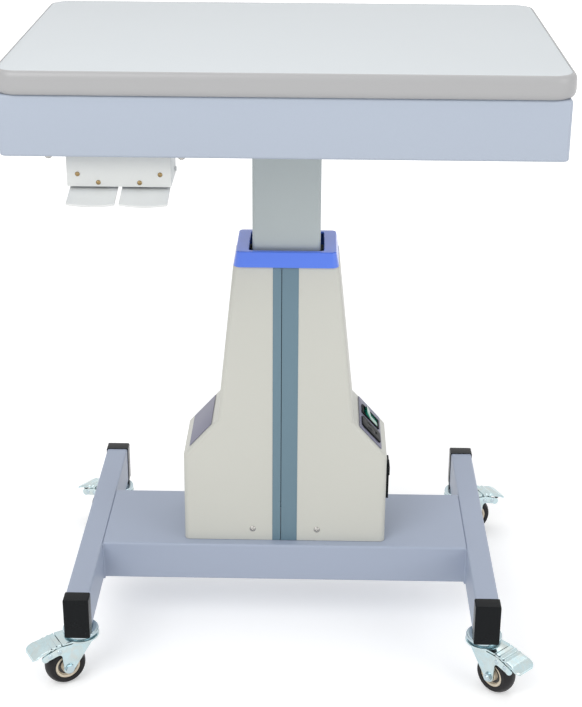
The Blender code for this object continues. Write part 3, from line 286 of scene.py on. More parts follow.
def adder(tree):
    """Function that adds a node to a tree: an input takes a value, a socket or a node's first output."""
    def add(kind, inputs=None, **fields):
        node = tree.nodes.new(kind)
        for field, value in fields.items():
            setattr(node, field, value)
        for name, origin in (inputs or {}).items():
            if isinstance(origin, bpy.types.Node):
                origin = origin.outputs[0]
            if isinstance(origin, bpy.types.NodeSocket):
                tree.links.new(origin, node.inputs[name])
            else:
                node.inputs[name].default_value = origin
        return node
    return add


def maths(add, operation, first, second):
    """A node that works out one number from two."""
    return add("ShaderNodeMath", {0: first, 1: second}, operation=operation)


def vector(add, x=0.0, y=0.0, z=0.0):
    """A node that makes a vector from three numbers."""
    return add("ShaderNodeCombineXYZ", {"X": x, "Y": y, "Z": z})


# Geometry trees for what repeats

def tree_of(name, sizes):
    """A geometry tree with named sizes: the tree, its input sockets and its add function."""
    tree = bpy.data.node_groups.new(name, "GeometryNodeTree")
    sockets = [("Geometry", GEOMETRY)] + [(size, FLOAT) for size in sizes] + [("Finish", MATERIAL)]
    for label, kind in sockets:
        tree.interface.new_socket(name=label, in_out="INPUT", socket_type=kind)
    tree.interface.new_socket(name="Geometry", in_out="OUTPUT", socket_type=GEOMETRY)
    add = adder(tree)
    return tree, add("NodeGroupInput").outputs, add


def finish_tree(tree, sizes, add, geometry):
    """Ends a tree: instances made real, shaded smooth and given the finish."""
    real = add("GeometryNodeRealizeInstances", {"Geometry": geometry})
    smooth = add("GeometryNodeSetShadeSmooth", {"Geometry": real})
    coated = add("GeometryNodeSetMaterial", {"Geometry": smooth, "Material": sizes["Finish"]})
    add("NodeGroupOutput", {0: coated})
    return tree


def dome_of(add, radius, height, rings):
    """A ball flattened to a head's radius and height."""
    ball = add("GeometryNodeMeshUVSphere", {"Segments": 24, "Rings": rings, "Radius": 1.0})
    return add("GeometryNodeTransform", {"Geometry": ball, "Scale": vector(add, radius, radius, height)})


def on_points(sizes, add, head):
    """Copies of a head on the points, each with its Z along the point's facing attribute."""
    facing = add("GeometryNodeInputNamedAttribute", {"Name": "facing"}, data_type="FLOAT_VECTOR")
    aimed = add("FunctionNodeAlignRotationToVector", {"Vector": facing}, axis="Z")
    return add("GeometryNodeInstanceOnPoints",
               {"Points": sizes["Geometry"], "Instance": head, "Rotation": aimed})


def screw_tree():
    """Domed heads with a cross recess, one on each point."""
    tree, sizes, add = tree_of("screw_heads", ("Head Radius", "Head Height", "Slot Width"))
    radius = sizes["Head Radius"]
    height = sizes["Head Height"]
    slot = sizes["Slot Width"]
    recess_reach = maths(add, "MULTIPLY", radius, 1.3)
    recess_lift = vector(add, z=maths(add, "MULTIPLY", height, 0.8))
    tools = []
    for wide, deep in ((recess_reach, slot), (slot, recess_reach)):
        bar = add("GeometryNodeMeshCube", {"Size": vector(add, wide, deep, height)})
        tools.append(add("GeometryNodeTransform", {"Geometry": bar, "Translation": recess_lift}))
    under_wide = maths(add, "MULTIPLY", radius, 4.0)
    under = add("GeometryNodeMeshCube", {"Size": vector(add, under_wide, under_wide, under_wide)})
    drop = vector(add, z=maths(add, "MULTIPLY", under_wide, -0.5))
    tools.append(add("GeometryNodeTransform", {"Geometry": under, "Translation": drop}))
    head = dome_of(add, radius, height, rings=16)
    for tool in tools:
        head = add("GeometryNodeMeshBoolean", {"Mesh 1": head, "Mesh 2": tool},
                   operation="DIFFERENCE", solver="EXACT")
    return finish_tree(tree, sizes, add, on_points(sizes, add, head))


def rivet_tree():
    """Low round heads, one on each point, half sunk in what they hold."""
    tree, sizes, add = tree_of("rivet_heads", ("Head Radius", "Head Height"))
    dome = dome_of(add, sizes["Head Radius"], sizes["Head Height"], rings=12)
    return finish_tree(tree, sizes, add, on_points(sizes, add, dome))


def weld_tree():
    """Overlapping beads along a path of edges."""
    tree, sizes, add = tree_of("weld_beads", ("Bead Radius", "Bead Pitch"))
    path = add("GeometryNodeMeshToCurve", {"Mesh": sizes["Geometry"]})
    points = add("GeometryNodeCurveToPoints", {"Curve": path, "Length": sizes["Bead Pitch"]}, mode="LENGTH")
    ball = add("GeometryNodeMeshIcoSphere", {"Radius": sizes["Bead Radius"], "Subdivisions": 2})
    beads = add("GeometryNodeInstanceOnPoints", {"Points": points, "Instance": ball})
    return finish_tree(tree, sizes, add, beads)


def bent(add, curve, radius, count):
    """A curve with its corners rounded."""
    return add("GeometryNodeFilletCurve",
               {"Curve": curve, "Radius": radius, "Count": count, "Limit Radius": True}, mode="POLY")


def band_tree():
    """Bullnose profile swept round a rectangle with rounded corners."""
    names = ("Width", "Depth", "Corner", "Band Deep", "Band Tall", "Band Round", "Nose Stretch")
    tree, sizes, add = tree_of("bullnose_band", names)
    deep = sizes["Band Deep"]
    nose = sizes["Band Round"]
    stretch = sizes["Nose Stretch"]
    path = add("GeometryNodeCurvePrimitiveQuadrilateral",
               {"Width": maths(add, "SUBTRACT", sizes["Width"], deep),
                "Height": maths(add, "SUBTRACT", sizes["Depth"], deep)})
    corner = maths(add, "SUBTRACT", sizes["Corner"], maths(add, "MULTIPLY", deep, 0.5))
    upright = add("GeometryNodeSetCurveNormal", {"Curve": bent(add, path, corner, TOP_STEPS)}, mode="Z_UP")
    profile = add("GeometryNodeCurvePrimitiveQuadrilateral",
                  {"Width": maths(add, "MULTIPLY", deep, stretch), "Height": sizes["Band Tall"]})
    across = add("ShaderNodeSeparateXYZ", {0: add("GeometryNodeInputPosition")})
    outside = add("FunctionNodeCompare", {"A": across, "B": 0.0}, operation="GREATER_THAN")
    inner_edge = maths(add, "MULTIPLY", nose, 0.04)
    radius = add("GeometryNodeSwitch", {"Switch": outside, "False": inner_edge, "True": nose},
                 input_type="FLOAT")
    slimming = vector(add, maths(add, "DIVIDE", 1.0, stretch), 1.0, 1.0)
    full = bent(add, profile, radius, NOSE_STEPS)
    slim = add("GeometryNodeTransform", {"Geometry": full, "Scale": slimming})
    sweep = add("GeometryNodeCurveToMesh", {"Curve": upright, "Profile Curve": slim})
    return finish_tree(tree, sizes, add, sweep)


def grown(name, tree, sizes, material, points=(), facings=(), edges=()):
    """Plain mesh that a geometry tree grows on points, with its sizes set by socket."""
    mesh = bpy.data.meshes.new(name + "_points")
    mesh.from_pydata(points, edges, [])
    if facings:
        facing = mesh.attributes.new("facing", "FLOAT_VECTOR", "POINT")
        for k, direction in enumerate(facings):
            facing.data[k].vector = direction
    seed = bpy.data.objects.new(name + "_seed", mesh)
    bpy.context.scene.collection.objects.link(seed)
    modifier = seed.modifiers.new("grow", "NODES")
    modifier.node_group = shared(tree)
    items = modifier.node_group.interface.items_tree
    sockets = {item.name: item.identifier for item in items if item.in_out == "INPUT"}
    for size, value in sizes.items():
        modifier[sockets[size]] = value
    modifier[sockets["Finish"]] = material
    graph = bpy.context.evaluated_depsgraph_get()
    result = bpy.data.meshes.new_from_object(seed.evaluated_get(graph))
    result.name = name
    seed.modifiers.remove(modifier)
    bpy.data.objects.remove(seed)
    bpy.data.meshes.remove(mesh)
    return result


def heads(name, tree, sizes, material, body, places):
    """One piece of screw or rivet heads; each place is a point and the way its head faces."""
    points = [point for point, _ in places]
    facings = [facing for _, facing in places]
    return piece(name, grown(name, tree, sizes, material, points, facings), material, body)


def cross_heads(name, material, body, places, radius, height, slot_wide):
    """One piece of screw heads with a cross recess."""
    sizes = {"Head Radius": radius, "Head Height": height, "Slot Width": slot_wide}
    return heads(name, "screw_heads", sizes, material, body, places)


# Shader groups that several finishes share

def group_of(name, inputs, output, kind):
    """A shader group with named sockets: the group, its inputs, its add function and Object coordinates."""
    group = bpy.data.node_groups.new(name, "ShaderNodeTree")
    for label, socket_type, default in inputs:
        socket = group.interface.new_socket(name=label, in_out="INPUT", socket_type=socket_type)
        socket.default_value = default
    group.interface.new_socket(name=output, in_out="OUTPUT", socket_type=kind)
    add = adder(group)
    return group, add("NodeGroupInput").outputs, add, add("ShaderNodeTexCoord").outputs["Object"]


def noise_of(add, place, scale, detail, roughness=0.5, distortion=0.0):
    """A noise texture on a place."""
    return add("ShaderNodeTexNoise", {"Vector": place, "Scale": scale, "Detail": detail,
                                      "Roughness": roughness, "Distortion": distortion})


def centred(add, noise, amount):
    """A noise shifted to lie about nought, times an amount."""
    return maths(add, "MULTIPLY", maths(add, "SUBTRACT", noise, 0.5), amount)


def relief_of(add, values, noise):
    """A noise as a relief, put out as the group's normal."""
    bump = add("ShaderNodeBump",
               {"Strength": values["Strength"], "Distance": values["Height"], "Height": noise})
    add("NodeGroupOutput", {"Normal": bump})


def tone_group():
    """Slow drift, patches of a second colour and fine specks in a colour."""
    grey = (0.5, 0.5, 0.5, 1.0)
    group, values, add, place = group_of(
        "tone_drift",
        [("Colour", COLOUR, grey), ("Second", COLOUR, grey), ("Patches", FLOAT, 0.0), ("Drift", FLOAT, 0.05),
         ("Drift Scale", FLOAT, 6.0), ("Specks", FLOAT, 0.03), ("Speck Scale", FLOAT, 900.0)],
        "Colour", COLOUR)
    slow = centred(add, noise_of(add, place, values["Drift Scale"], 3.0), values["Drift"])
    fine = centred(add, noise_of(add, place, values["Speck Scale"], 2.0, 0.6), values["Specks"])
    value = maths(add, "ADD", maths(add, "ADD", slow, fine), 1.0)
    broad = noise_of(add, place, values["Drift Scale"], 4.0, 0.6, 1.2)
    edge = add("ShaderNodeMapRange", {"Value": broad, "From Min": 0.42, "From Max": 0.66})
    patch = maths(add, "MULTIPLY", edge, values["Patches"])
    mixed = add("ShaderNodeMix", {"Factor": patch}, data_type="RGBA")
    colours = [socket for socket in mixed.inputs if socket.type == "RGBA"]
    group.links.new(values["Colour"], colours[0])
    group.links.new(values["Second"], colours[1])
    blend = next(socket for socket in mixed.outputs if socket.type == "RGBA")
    tinted = add("ShaderNodeHueSaturation", {"Color": blend, "Value": value})
    add("NodeGroupOutput", {"Colour": tinted})
    return group


def handling_group():
    """Faint wiped patches that change how a surface shines."""
    group, values, add, place = group_of(
        "handling_marks",
        [("Roughness", FLOAT, 0.4), ("Amount", FLOAT, 0.1), ("Scale", FLOAT, 9.0)], "Roughness", FLOAT)
    wiped = centred(add, noise_of(add, place, values["Scale"], 6.0, 0.62, 0.8), values["Amount"])
    add("NodeGroupOutput", {"Roughness": maths(add, "ADD", wiped, values["Roughness"])})
    return group


def grain_group():
    """Skin of a coat or a moulding: an orange-peel or spark-etched relief as a normal."""
    group, values, add, place = group_of(
        "fine_grain",
        [("Scale", FLOAT, 700.0), ("Strength", FLOAT, 0.15), ("Height", FLOAT, 0.00005)], "Normal", VECTOR)
    relief_of(add, values, noise_of(add, place, values["Scale"], 2.0, 0.45))
    return group


def drawn_group():
    """Long fine lines along one direction, as drawn tube and brushed sheet have."""
    group, values, add, place = group_of(
        "drawn_lines",
        [("Stretch", VECTOR, (600.0, 600.0, 8.0)), ("Strength", FLOAT, 0.1), ("Height", FLOAT, 0.00004)],
        "Normal", VECTOR)
    stretched = add("ShaderNodeVectorMath", {0: place, 1: values["Stretch"]}, operation="MULTIPLY")
    relief_of(add, values, noise_of(add, stretched, 1.0, 3.0))
    return group


def shared(name):
    """A shared shader group or geometry tree, built on first use."""
    makers = {"tone_drift": tone_group, "fine_grain": grain_group, "handling_marks": handling_group,
              "drawn_lines": drawn_group, "screw_heads": screw_tree, "rivet_heads": rivet_tree,
              "weld_beads": weld_tree, "bullnose_band": band_tree}
    return bpy.data.node_groups.get(name) or makers[name]()


def coat(name, colour, roughness, metallic=0.0, drift=0.06, drift_scale=5.0, specks=0.05, speck_scale=900.0,
         grain_scale=700.0, grain=0.15, grain_height=0.00005, marks=0.12, marks_scale=9.0, specular=0.5,
         clear=0.0, lines=None, second=None, patches=0.0):
    """A finish: drifting colour, wiped shine and a fine relief on one Principled shader."""
    label = name + "_finish"
    made = bpy.data.materials.get(label)
    if made:
        return made
    made = bpy.data.materials.new(label)
    made.use_nodes = True
    add = adder(made.node_tree)
    tone = add("ShaderNodeGroup", node_tree=shared("tone_drift"), inputs={
        "Colour": (*colour, 1.0), "Second": (*(second or colour), 1.0), "Patches": patches,
        "Drift": drift, "Drift Scale": drift_scale, "Specks": specks, "Speck Scale": speck_scale})
    shine = add("ShaderNodeGroup", node_tree=shared("handling_marks"), inputs={
        "Roughness": roughness, "Amount": marks, "Scale": marks_scale})
    relief = add("ShaderNodeGroup", node_tree=shared("drawn_lines" if lines else "fine_grain"), inputs={
        "Strength": grain, "Height": grain_height})
    if lines:
        relief.inputs["Stretch"].default_value = lines
    else:
        relief.inputs["Scale"].default_value = grain_scale
    shader = made.node_tree.nodes["Principled BSDF"]
    for socket, group in (("Base Color", tone), ("Roughness", shine), ("Normal", relief)):
        made.node_tree.links.new(group.outputs[0], shader.inputs[socket])
    for socket, value in (("Metallic", metallic), ("Specular IOR Level", specular), ("Coat Weight", clear)):
        shader.inputs[socket].default_value = value
    return made


# Sizes and colours that a user would change

def number(name, description, default, **limits):
    """A number property, with its unit or limits."""
    return FloatProperty(name=name, description=description, default=default, **limits)


def length(name, description, default):
    """A length property in metres."""
    return number(name, description, default, min=0.0, unit="LENGTH", precision=4)


def share(name, description, default):
    """A part of a whole, between nought and one."""
    return number(name, description, default, min=0.0, max=1.0, subtype="FACTOR")


def turn(name, description, degrees):
    """An angle property, given in degrees."""
    return number(name, description, math.radians(degrees), unit="ROTATION")


def facets(name, description, default):
    """A number of facets for a full turn."""
    return IntProperty(name=name, description=description, default=default, min=12, max=128)


def tint(name, description, default):
    """A colour property."""
    return FloatVectorProperty(name=name, description=description, default=default, subtype="COLOR", size=3,
                               min=0.0, max=1.0)


def spot(name, description, default):
    """A place property in metres."""
    return FloatVectorProperty(name=name, description=description, default=default, subtype="TRANSLATION",
                               unit="LENGTH")


class TopSettings(bpy.types.PropertyGroup):
    """Table top and its edge band."""
    corner: length("Corner", "Radius of the top's corners", 0.027)
    band_deep: length("Band depth", "How far the band reaches in from the edge", 0.005)
    band_round: length("Band nose", "Height of the band's nose at the top and at the bottom", 0.0086)
    nose_stretch: number("Nose stretch", "Height of the band's nose over its depth", 1.8)
    edge_soft: length("Edge", "Rounding of the board's upper edge", 0.0004)
    laminate: tint("Laminate", "Colour of the board", (0.668, 0.704, 0.727))
    band: tint("Band", "Colour of the edge band", (0.442, 0.442, 0.447))


class TraySettings(bpy.types.PropertyGroup):
    """Folded tray under the top, and the column."""
    bend: length("Bend", "Outside radius of the tray's folds", 0.003)
    wall: length("Sheet", "Thickness of the tray's sheet", 0.0015)
    corner: length("Corner", "Radius of the tray's upright corners", 0.005)
    flange: length("Flange", "Width of the flange under the board", 0.015)
    column_corner: length("Column corner", "Radius of the column's corners", 0.004)
    column_wall: length("Column wall", "Wall of the column tube", 0.003)
    paint: tint("Paint", "Colour of the tray", (0.455, 0.511, 0.605))
    column: tint("Column", "Colour of the column", (0.425, 0.471, 0.476))


class HousingSettings(bpy.types.PropertyGroup):
    """Half shells of the housing, their strips, plate and screws, the collar and the switch panel."""
    shoulder_low: length("Shoulder start", "Height of the shoulders above the beam", 0.114)
    shoulder_tall: length("Shoulder height", "Height of the shoulders' slope", 0.047)
    shoulder_wide: length("Waist", "Width of the housing over the shoulders", 0.166)
    top_wide: length("Top width", "Width of the housing under the collar", 0.125)
    top_deep: length("Top depth", "Depth of the housing under the collar", 0.084)
    wall: length("Wall", "Wall of the half shells and the collar", 0.0025)
    corner: length("Corner", "Radius of the upright corners", 0.006)
    fold: length("Fold", "Rounding of the shoulders' edges", 0.0016)
    strip_left: length("Left strip", "Width of the strip left of the seam", 0.0095)
    strip_right: length("Right strip", "Width of the strip right of the seam", 0.019)
    strip_over: length("Strip overhang", "How far each strip stands over the seam", 0.0006)
    strip_thick: length("Strip", "Thickness of the strips", 0.0004)
    plate_long: length("Plate length", "Length of the bare plate on the left shoulder", 0.086)
    plate_tall: length("Plate height", "Height of the bare plate on the left shoulder", 0.041)
    plate_thick: length("Plate", "Thickness of the bare plate", 0.0006)
    plate_corner: length("Plate corner", "Radius of the corners of the plate and the switch panel", 0.001)
    panel_thick: length("Panel", "Thickness of the switch panel", 0.001)
    bezel_rim: length("Bezel", "Width of the frame round the rocker", 0.002)
    moulded_edge: length("Moulded edge", "Rounding of the mains fittings' edges", 0.0004)
    screw_spread: length("Screw spread", "Distance between a side's two screws", 0.080)
    screw_up: length("Screw height", "Height of the screws above the beam", 0.0155)
    screw_radius: length("Screw head", "Radius of the screw heads", 0.0038)
    screw_rise: length("Screw rise", "Height of the screw heads", 0.0018)
    screw_slot: length("Screw slot", "Width of the screws' cross recess", 0.0014)
    collar_corner: length("Collar corner", "Radius of the collar's corners", 0.009)
    collar_draft: length("Collar draft", "How far the collar narrows to its top", 0.003)
    collar_round: length("Collar edge", "Rounding of the collar's upper edge", 0.0015)
    collar_top: length("Collar top", "Thickness of the collar's top", 0.003)
    collar_seat: length("Collar seat", "How far the collar's foot reaches in over the shells", 0.0055)
    collar_clear: length("Collar gap", "Gap between collar and column", 0.004)
    shell: tint("Shell", "Colour of the half shells", (0.622, 0.622, 0.566))
    strip: tint("Strip", "Colour of the strips", (0.146, 0.236, 0.292))
    collar: tint("Collar", "Colour of the collar", (0.088, 0.214, 0.880))
    plate: tint("Plate", "Colour of the plate and the switch panel", (0.205, 0.205, 0.283))


class ControlSettings(bpy.types.PropertyGroup):
    """Hand control under the tray, and the colours of the small mouldings."""
    fold: length("Fold", "Rounding of the cover's folds and the paddles' edges", 0.0005)
    screw_radius: length("Screw head", "Radius of the cover's screw heads", 0.0026)
    screw_rise: length("Screw rise", "Height of the cover's screw heads", 0.0014)
    screw_slot: length("Screw slot", "Width of the screws' cross recess", 0.0008)
    upper_spread: length("Upper spread", "Distance between the two upper screws", 0.088)
    upper_up: length("Upper height", "Height of the upper screws on the cover", 0.0136)
    lower_spread: length("Lower spread", "Distance between the two lower screws", 0.044)
    lower_up: length("Lower height", "Height of the lower screws on the cover", 0.0046)
    tray_screw: length("Tray screw", "Radius of the screw heads under the tray", 0.0040)
    tray_screw_rise: length("Tray screw rise", "Height of the screw heads under the tray", 0.0032)
    tray_screw_out: length("Tray screw out", "Distance of the tray's screws from the cover", 0.004)
    tray_screw_in: length("Tray screw in", "Distance of the tray's screws from its front", 0.0065)
    cover: tint("Cover", "Colour of the cover and the paddles", (0.80, 0.815, 0.80))
    brass: tint("Screws", "Colour of the cover's screws", (0.36, 0.26, 0.13))
    rocker: tint("Rocker", "Colour of the mains rocker", (0.008, 0.26, 0.17))
    moulding: tint("Moulding", "Colour of the black mouldings", (0.0085, 0.0098, 0.0112))


class BaseSettings(bpy.types.PropertyGroup):
    """Legs, beam and end caps."""
    leg_corner: length("Leg corner", "Radius of the legs' edges", 0.0025)
    leg_wall: length("Leg wall", "Wall of the legs", 0.002)
    beam_corner: length("Beam corner", "Radius of the beam's edges", 0.003)
    beam_wall: length("Beam wall", "Wall of the beam", 0.0025)
    edge_soft: length("Sawn edge", "Rounding of the tubes' sawn ends", 0.0003)
    cap_corner: length("Cap corner", "Radius of the end caps' edges", 0.002)
    cap_soft: length("Cap edge", "Rounding of the end caps' faces", 0.0008)
    cap_face: length("Cap face", "Thickness of the end caps' faces", 0.003)
    weld: length("Weld", "Radius of the weld beads", 0.0014)
    weld_pitch: length("Weld pitch", "Distance between weld beads", 0.001)
    paint: tint("Paint", "Colour of the base", (0.385, 0.438, 0.550))
    cap: tint("Caps", "Colour of the end caps", (0.0038, 0.0050, 0.0062))


class CasterSettings(bpy.types.PropertyGroup):
    """Swivel casters with brake pedals."""
    steps: facets("Steps", "Facets of a full turn", 56)
    tread_steps: facets("Tread steps", "Facets of the tread's full turn", 72)
    soft: length("Edge", "Rounding of stamped and turned edges", 0.0005)
    stem: length("Stem", "Radius of the threaded stem", 0.0049)
    race: length("Race", "Radius of the swivel race", 0.0215)
    race_tall: length("Race height", "Height of the race's ring", 0.0042)
    race_round: length("Race edge", "Rounding of the race's upper edge", 0.0017)
    race_seat: length("Race seat", "Radius of the shoulder under the leg", 0.0075)
    race_neck: length("Race neck", "Radius of the race under its ring", 0.016)
    race_neck_tall: length("Neck height", "Height of the race under its ring", 0.003)
    race_groove: length("Race groove", "Radius of the groove on the race", 0.0135)
    king: length("King pin", "Radius of the king pin", 0.005)
    king_head: length("King pin head", "Radius of the king pin's head", 0.009)
    king_tall: length("King pin head height", "Height of the king pin's head", 0.0025)
    fork_wide: length("Fork width", "Width over the fork's cheeks", 0.030)
    fork_sheet: length("Fork sheet", "Thickness of the fork's sheet", 0.0025)
    fork_disc: length("Fork disc", "Radius of the fork's round top", 0.022)
    tongue: length("Tongue", "Reach of the fork's tongue", 0.0295)
    tongue_corner: length("Tongue corner", "Radius of the tongue's corners", 0.002)
    cheek_rear: length("Cheek rear", "How far the cheeks start behind the swivel", 0.013)
    cheek_shoulder: length("Cheek shoulder", "Where the cheeks step down to the arms", 0.015)
    cheek_step: length("Cheek step", "Radius of the step down to the arms", 0.0031)
    flare_tall: length("Flare", "Height of the pressed flare at the cheeks", 0.011)
    skirt: length("Skirt", "Height of the flare at its rear end", 0.0025)
    arm_knee: length("Arm knee", "Where the arms bend under the pedal", 0.034)
    arm_drop: length("Arm drop", "Drop of the arms below the fork's top", 0.0036)
    nose_out: length("Nose out", "Nose of the arms, out from the axle", 0.0285)
    nose_up: length("Nose up", "Nose of the arms, up from the axle", 0.0212)
    nose_round: length("Nose", "Radius of the arms' nose", 0.0047)
    crotch_out: length("Crotch out", "Crotch of the arms, out from the axle", 0.012)
    crotch_up: length("Crotch up", "Crotch of the arms, up from the axle", 0.0175)
    crotch_round: length("Crotch", "Radius of the crotch", 0.004)
    fork_eye: length("Axle eye", "Radius of the cheeks round the axle", 0.007)
    rivet: length("Rivet", "Radius of the rivets' heads", 0.003)
    rivet_rise: length("Rivet rise", "Height of the rivets' heads", 0.001)
    second_out: length("Second rivet out", "Second rivet, out from the axle", 0.0232)
    second_up: length("Second rivet up", "Second rivet, up from the axle", 0.0238)
    axle: length("Axle", "Radius of the axle bolt", 0.004)
    axle_out: length("Axle end", "How far the bolt stands out of its nut", 0.0005)
    nut: length("Nut", "Radius over the corners of the axle's nut", 0.0054)
    nut_tall: length("Nut height", "Height of the axle's nut", 0.0027)
    washer: length("Washer", "Radius of the axle's washers", 0.0058)
    washer_thick: length("Washer sheet", "Thickness of the axle's washers", 0.0008)
    wheel_wide: length("Wheel width", "Width of the wheel", 0.021)
    tread_deep: length("Tread depth", "Depth of the tread", 0.0095)
    tread_soft: length("Tread edge", "Rounding of the tread's edges", 0.0005)
    crown: length("Crown", "Radius of the tread's crown", 0.0154)
    hub_in: length("Hub inset", "How far the core lies inside the tread's sides", 0.001)
    hub_rim: length("Hub rim", "Width of the core's rim", 0.0032)
    hub_dish: length("Hub dish", "Depth of the core's dish", 0.003)
    hub_boss: length("Hub boss", "Radius of the core's boss", 0.0075)
    seal_ring: length("Seal", "Cream ring left between seal and rim", 0.001)
    seal_thick: length("Seal sheet", "Thickness of the bearing seals", 0.0005)
    pedal_gap: length("Pedal gap", "Gap between tongue and pedal", 0.001)
    pedal_reach: length("Pedal reach", "Reach of the pedal from the swivel", 0.066)
    pedal_sheet: length("Pedal sheet", "Thickness of the pedal", 0.0018)
    pedal_slope: turn("Pedal slope", "Slope of the pedal's plate", 12.5)
    tip_slope: turn("Tip slope", "Slope of the pedal's tip, past the fold", 28.0)
    fold_half: length("Fold", "Half length of the fold before the tip", 0.0018)
    lip: length("Lip", "Length and drop of the lip at the tip", 0.0016)
    pedal_flare: length("Pedal flare", "How much the pedal widens to its tip", 0.0015)
    pedal_waist: length("Pedal waist", "How much the pedal narrows at its middle", 0.0005)
    pedal_corner: length("Pedal corner", "Radius of the pedal's tip", 0.006)
    pedal_roll: length("Pedal sides", "Drop of the pedal's rolled sides", 0.0008)
    rib_first: share("First rib", "Place of the first rib along the pedal", 0.20)
    rib_second: share("Second rib", "Place of the second rib along the pedal", 0.38)
    rib_half: share("Rib", "Half width of a rib along the pedal", 0.075)
    rib_rise: length("Rib rise", "Height of the pedal's ribs", 0.0011)
    tip_from: share("Tip", "Where the pedal folds down to its tip", 0.74)
    lug_eye: length("Lug eye", "Radius of the pedal's lugs round the pin", 0.0042)
    lug_sheet: length("Lug sheet", "Thickness of the pedal's lugs", 0.0014)
    shoe_wide: length("Shoe width", "Width of the brake shoe", 0.016)
    shoe_thick: length("Shoe", "Thickness of the brake shoe and its pad", 0.0035)
    stop_long: length("Stop", "Length of the rubber stop under the pedal", 0.004)
    stop_tall: length("Stop height", "Height of the rubber stop under the pedal", 0.006)
    shoe_clear: length("Shoe gap", "Gap between pad and tread", 0.0015)
    shoe_first: turn("Shoe start", "Angle of the shoe's lower end over the wheel", 36.0)
    shoe_last: turn("Shoe end", "Angle of the shoe's upper end over the wheel", 48.0)
    zinc: tint("Zinc", "Colour of the zinc plate", (0.56, 0.70, 0.73))
    passivated: tint("Passivation", "Colour of the zinc plate's warmer patches", (0.60, 0.63, 0.60))
    # The race's tint is kept darker than the zinc as painted dark reflection.
    race_shaded_tint: tint("Race", "Colour of the swivel race", (0.50, 0.60, 0.64))
    hub: tint("Hub", "Colour of the wheel core", (0.752, 0.658, 0.515))
    tyre: tint("Tread", "Colour of the tread", (0.018, 0.017, 0.018))
    seal: tint("Seals", "Colour of the bearing seals", (0.035, 0.032, 0.030))


class DriveSettings(bpy.types.PropertyGroup):
    """Colours of the drive and of the plain fasteners."""
    steel: tint("Steel", "Colour of screws, bolts and plain steel", (0.44, 0.43, 0.41))
    motor: tint("Motor", "Colour of motor and transformer", (0.035, 0.036, 0.042))
    alloy: tint("Gearbox", "Colour of the gearbox", (0.45, 0.46, 0.47))
    guide: tint("Guide tube", "Colour of the guide tube", (0.030, 0.031, 0.034))
    glide: tint("Glides", "Colour of the lift nut and its glides", (0.80, 0.80, 0.77))


class StageSettings(bpy.types.PropertyGroup):
    """Floor, light and camera."""
    lens: number("Lens", "Focal length of the camera in millimetres", 77.85, unit="CAMERA")
    sensor: number("Sensor", "Width of the camera's sensor in millimetres", 36.0, unit="CAMERA")
    eye: spot("Eye", "Place of the camera", (0.0373, -1.7271, 1.0903))
    pitch: number("Pitch", "Tilt of the camera below level", 0.4048, unit="ROTATION")
    yaw: number("Yaw", "Turn of the camera to the right", -0.0184, unit="ROTATION")
    roll: number("Roll", "Roll of the camera", 0.006, unit="ROTATION")
    ambient: number("Ambient", "Strength of the even light", 0.55)
    glossy: number("Reflection", "How white shiny surfaces see the studio", 0.95)
    glow: number("Floor glow", "How far the floor is lifted to white", 0.34)
    near: length("Near", "Distance up to which the floor keeps its shadows", 1.0)
    far: length("Far", "Distance from which the floor is white", 4.0)
    floor_reach: length("Floor reach", "Half width of the floor", 14.0)
    floor_rough: share("Floor roughness", "Roughness of the floor", 0.9)
    floor: tint("Floor", "Colour of the floor", (0.90, 0.90, 0.90))
    key: number("Key", "Power of the large lamp at the front left", 48.0, unit="POWER")
    key_place: spot("Key place", "Place of the lamp at the front left", (-1.5, -2.3, 2.6))
    key_size: length("Key size", "Side of the lamp at the front left", 2.2)
    fill: number("Fill", "Power of the lamp at the right", 19.0, unit="POWER")
    fill_place: spot("Fill place", "Place of the lamp at the right", (2.3, -1.6, 1.5))
    fill_size: length("Fill size", "Side of the lamp at the right", 1.8)
    over: number("Overhead", "Power of the lamp above", 16.0, unit="POWER")
    over_place: spot("Overhead place", "Place of the lamp above", (0.2, 0.9, 2.9))
    over_size: length("Overhead size", "Side of the lamp above", 2.4)


class TableSettings(bpy.types.PropertyGroup):
    """All settings of the table."""
    top: PointerProperty(type=TopSettings, name="Top", description="Table top")
    tray: PointerProperty(type=TraySettings, name="Tray", description="Tray and column")
    housing: PointerProperty(type=HousingSettings, name="Housing", description="Housing and collar")
    control: PointerProperty(type=ControlSettings, name="Control", description="Hand control and mouldings")
    base: PointerProperty(type=BaseSettings, name="Base", description="Legs, beam and caps")
    caster: PointerProperty(type=CasterSettings, name="Casters", description="Swivel casters")
    drive: PointerProperty(type=DriveSettings, name="Drive", description="Drive and plain fasteners")
    stage: PointerProperty(type=StageSettings, name="Stage", description="Floor, light and camera")


def settings():
    """The table's settings in this file."""
    return bpy.context.scene.instrument_table


# Finishes

def laminate():
    return coat("laminate", settings().top.laminate, 0.56, drift=0.02, specks=0.03, speck_scale=1400.0,
                grain_scale=1300.0, grain=0.12, grain_height=0.00003, marks=0.10, marks_scale=5.0,
                specular=0.35)


def edge_grey():
    return coat("edge_grey", settings().top.band, 0.34, drift=0.03, specks=0.03, grain_scale=900.0,
                grain=0.08, grain_height=0.00003, marks=0.10)


def lavender_paint():
    return coat("lavender_paint", settings().tray.paint, 0.44, drift=0.035, grain_scale=520.0, grain=0.20,
                grain_height=0.00006, marks=0.10)


def base_paint():
    return coat("base_paint", settings().base.paint, 0.42, drift=0.04, grain_scale=520.0, grain=0.22,
                grain_height=0.00006)


def column_grey():
    return coat("column_grey", settings().tray.column, 0.36, metallic=0.25, drift=0.05, drift_scale=4.0,
                specks=0.03, grain=0.10, grain_height=0.00004, marks=0.22, marks_scale=14.0,
                lines=(500.0, 500.0, 5.0))


def ivory_plastic():
    return coat("ivory_plastic", settings().housing.shell, 0.42, drift=0.03, drift_scale=4.0,
                speck_scale=1100.0, grain_scale=1000.0, grain=0.16, marks=0.10)


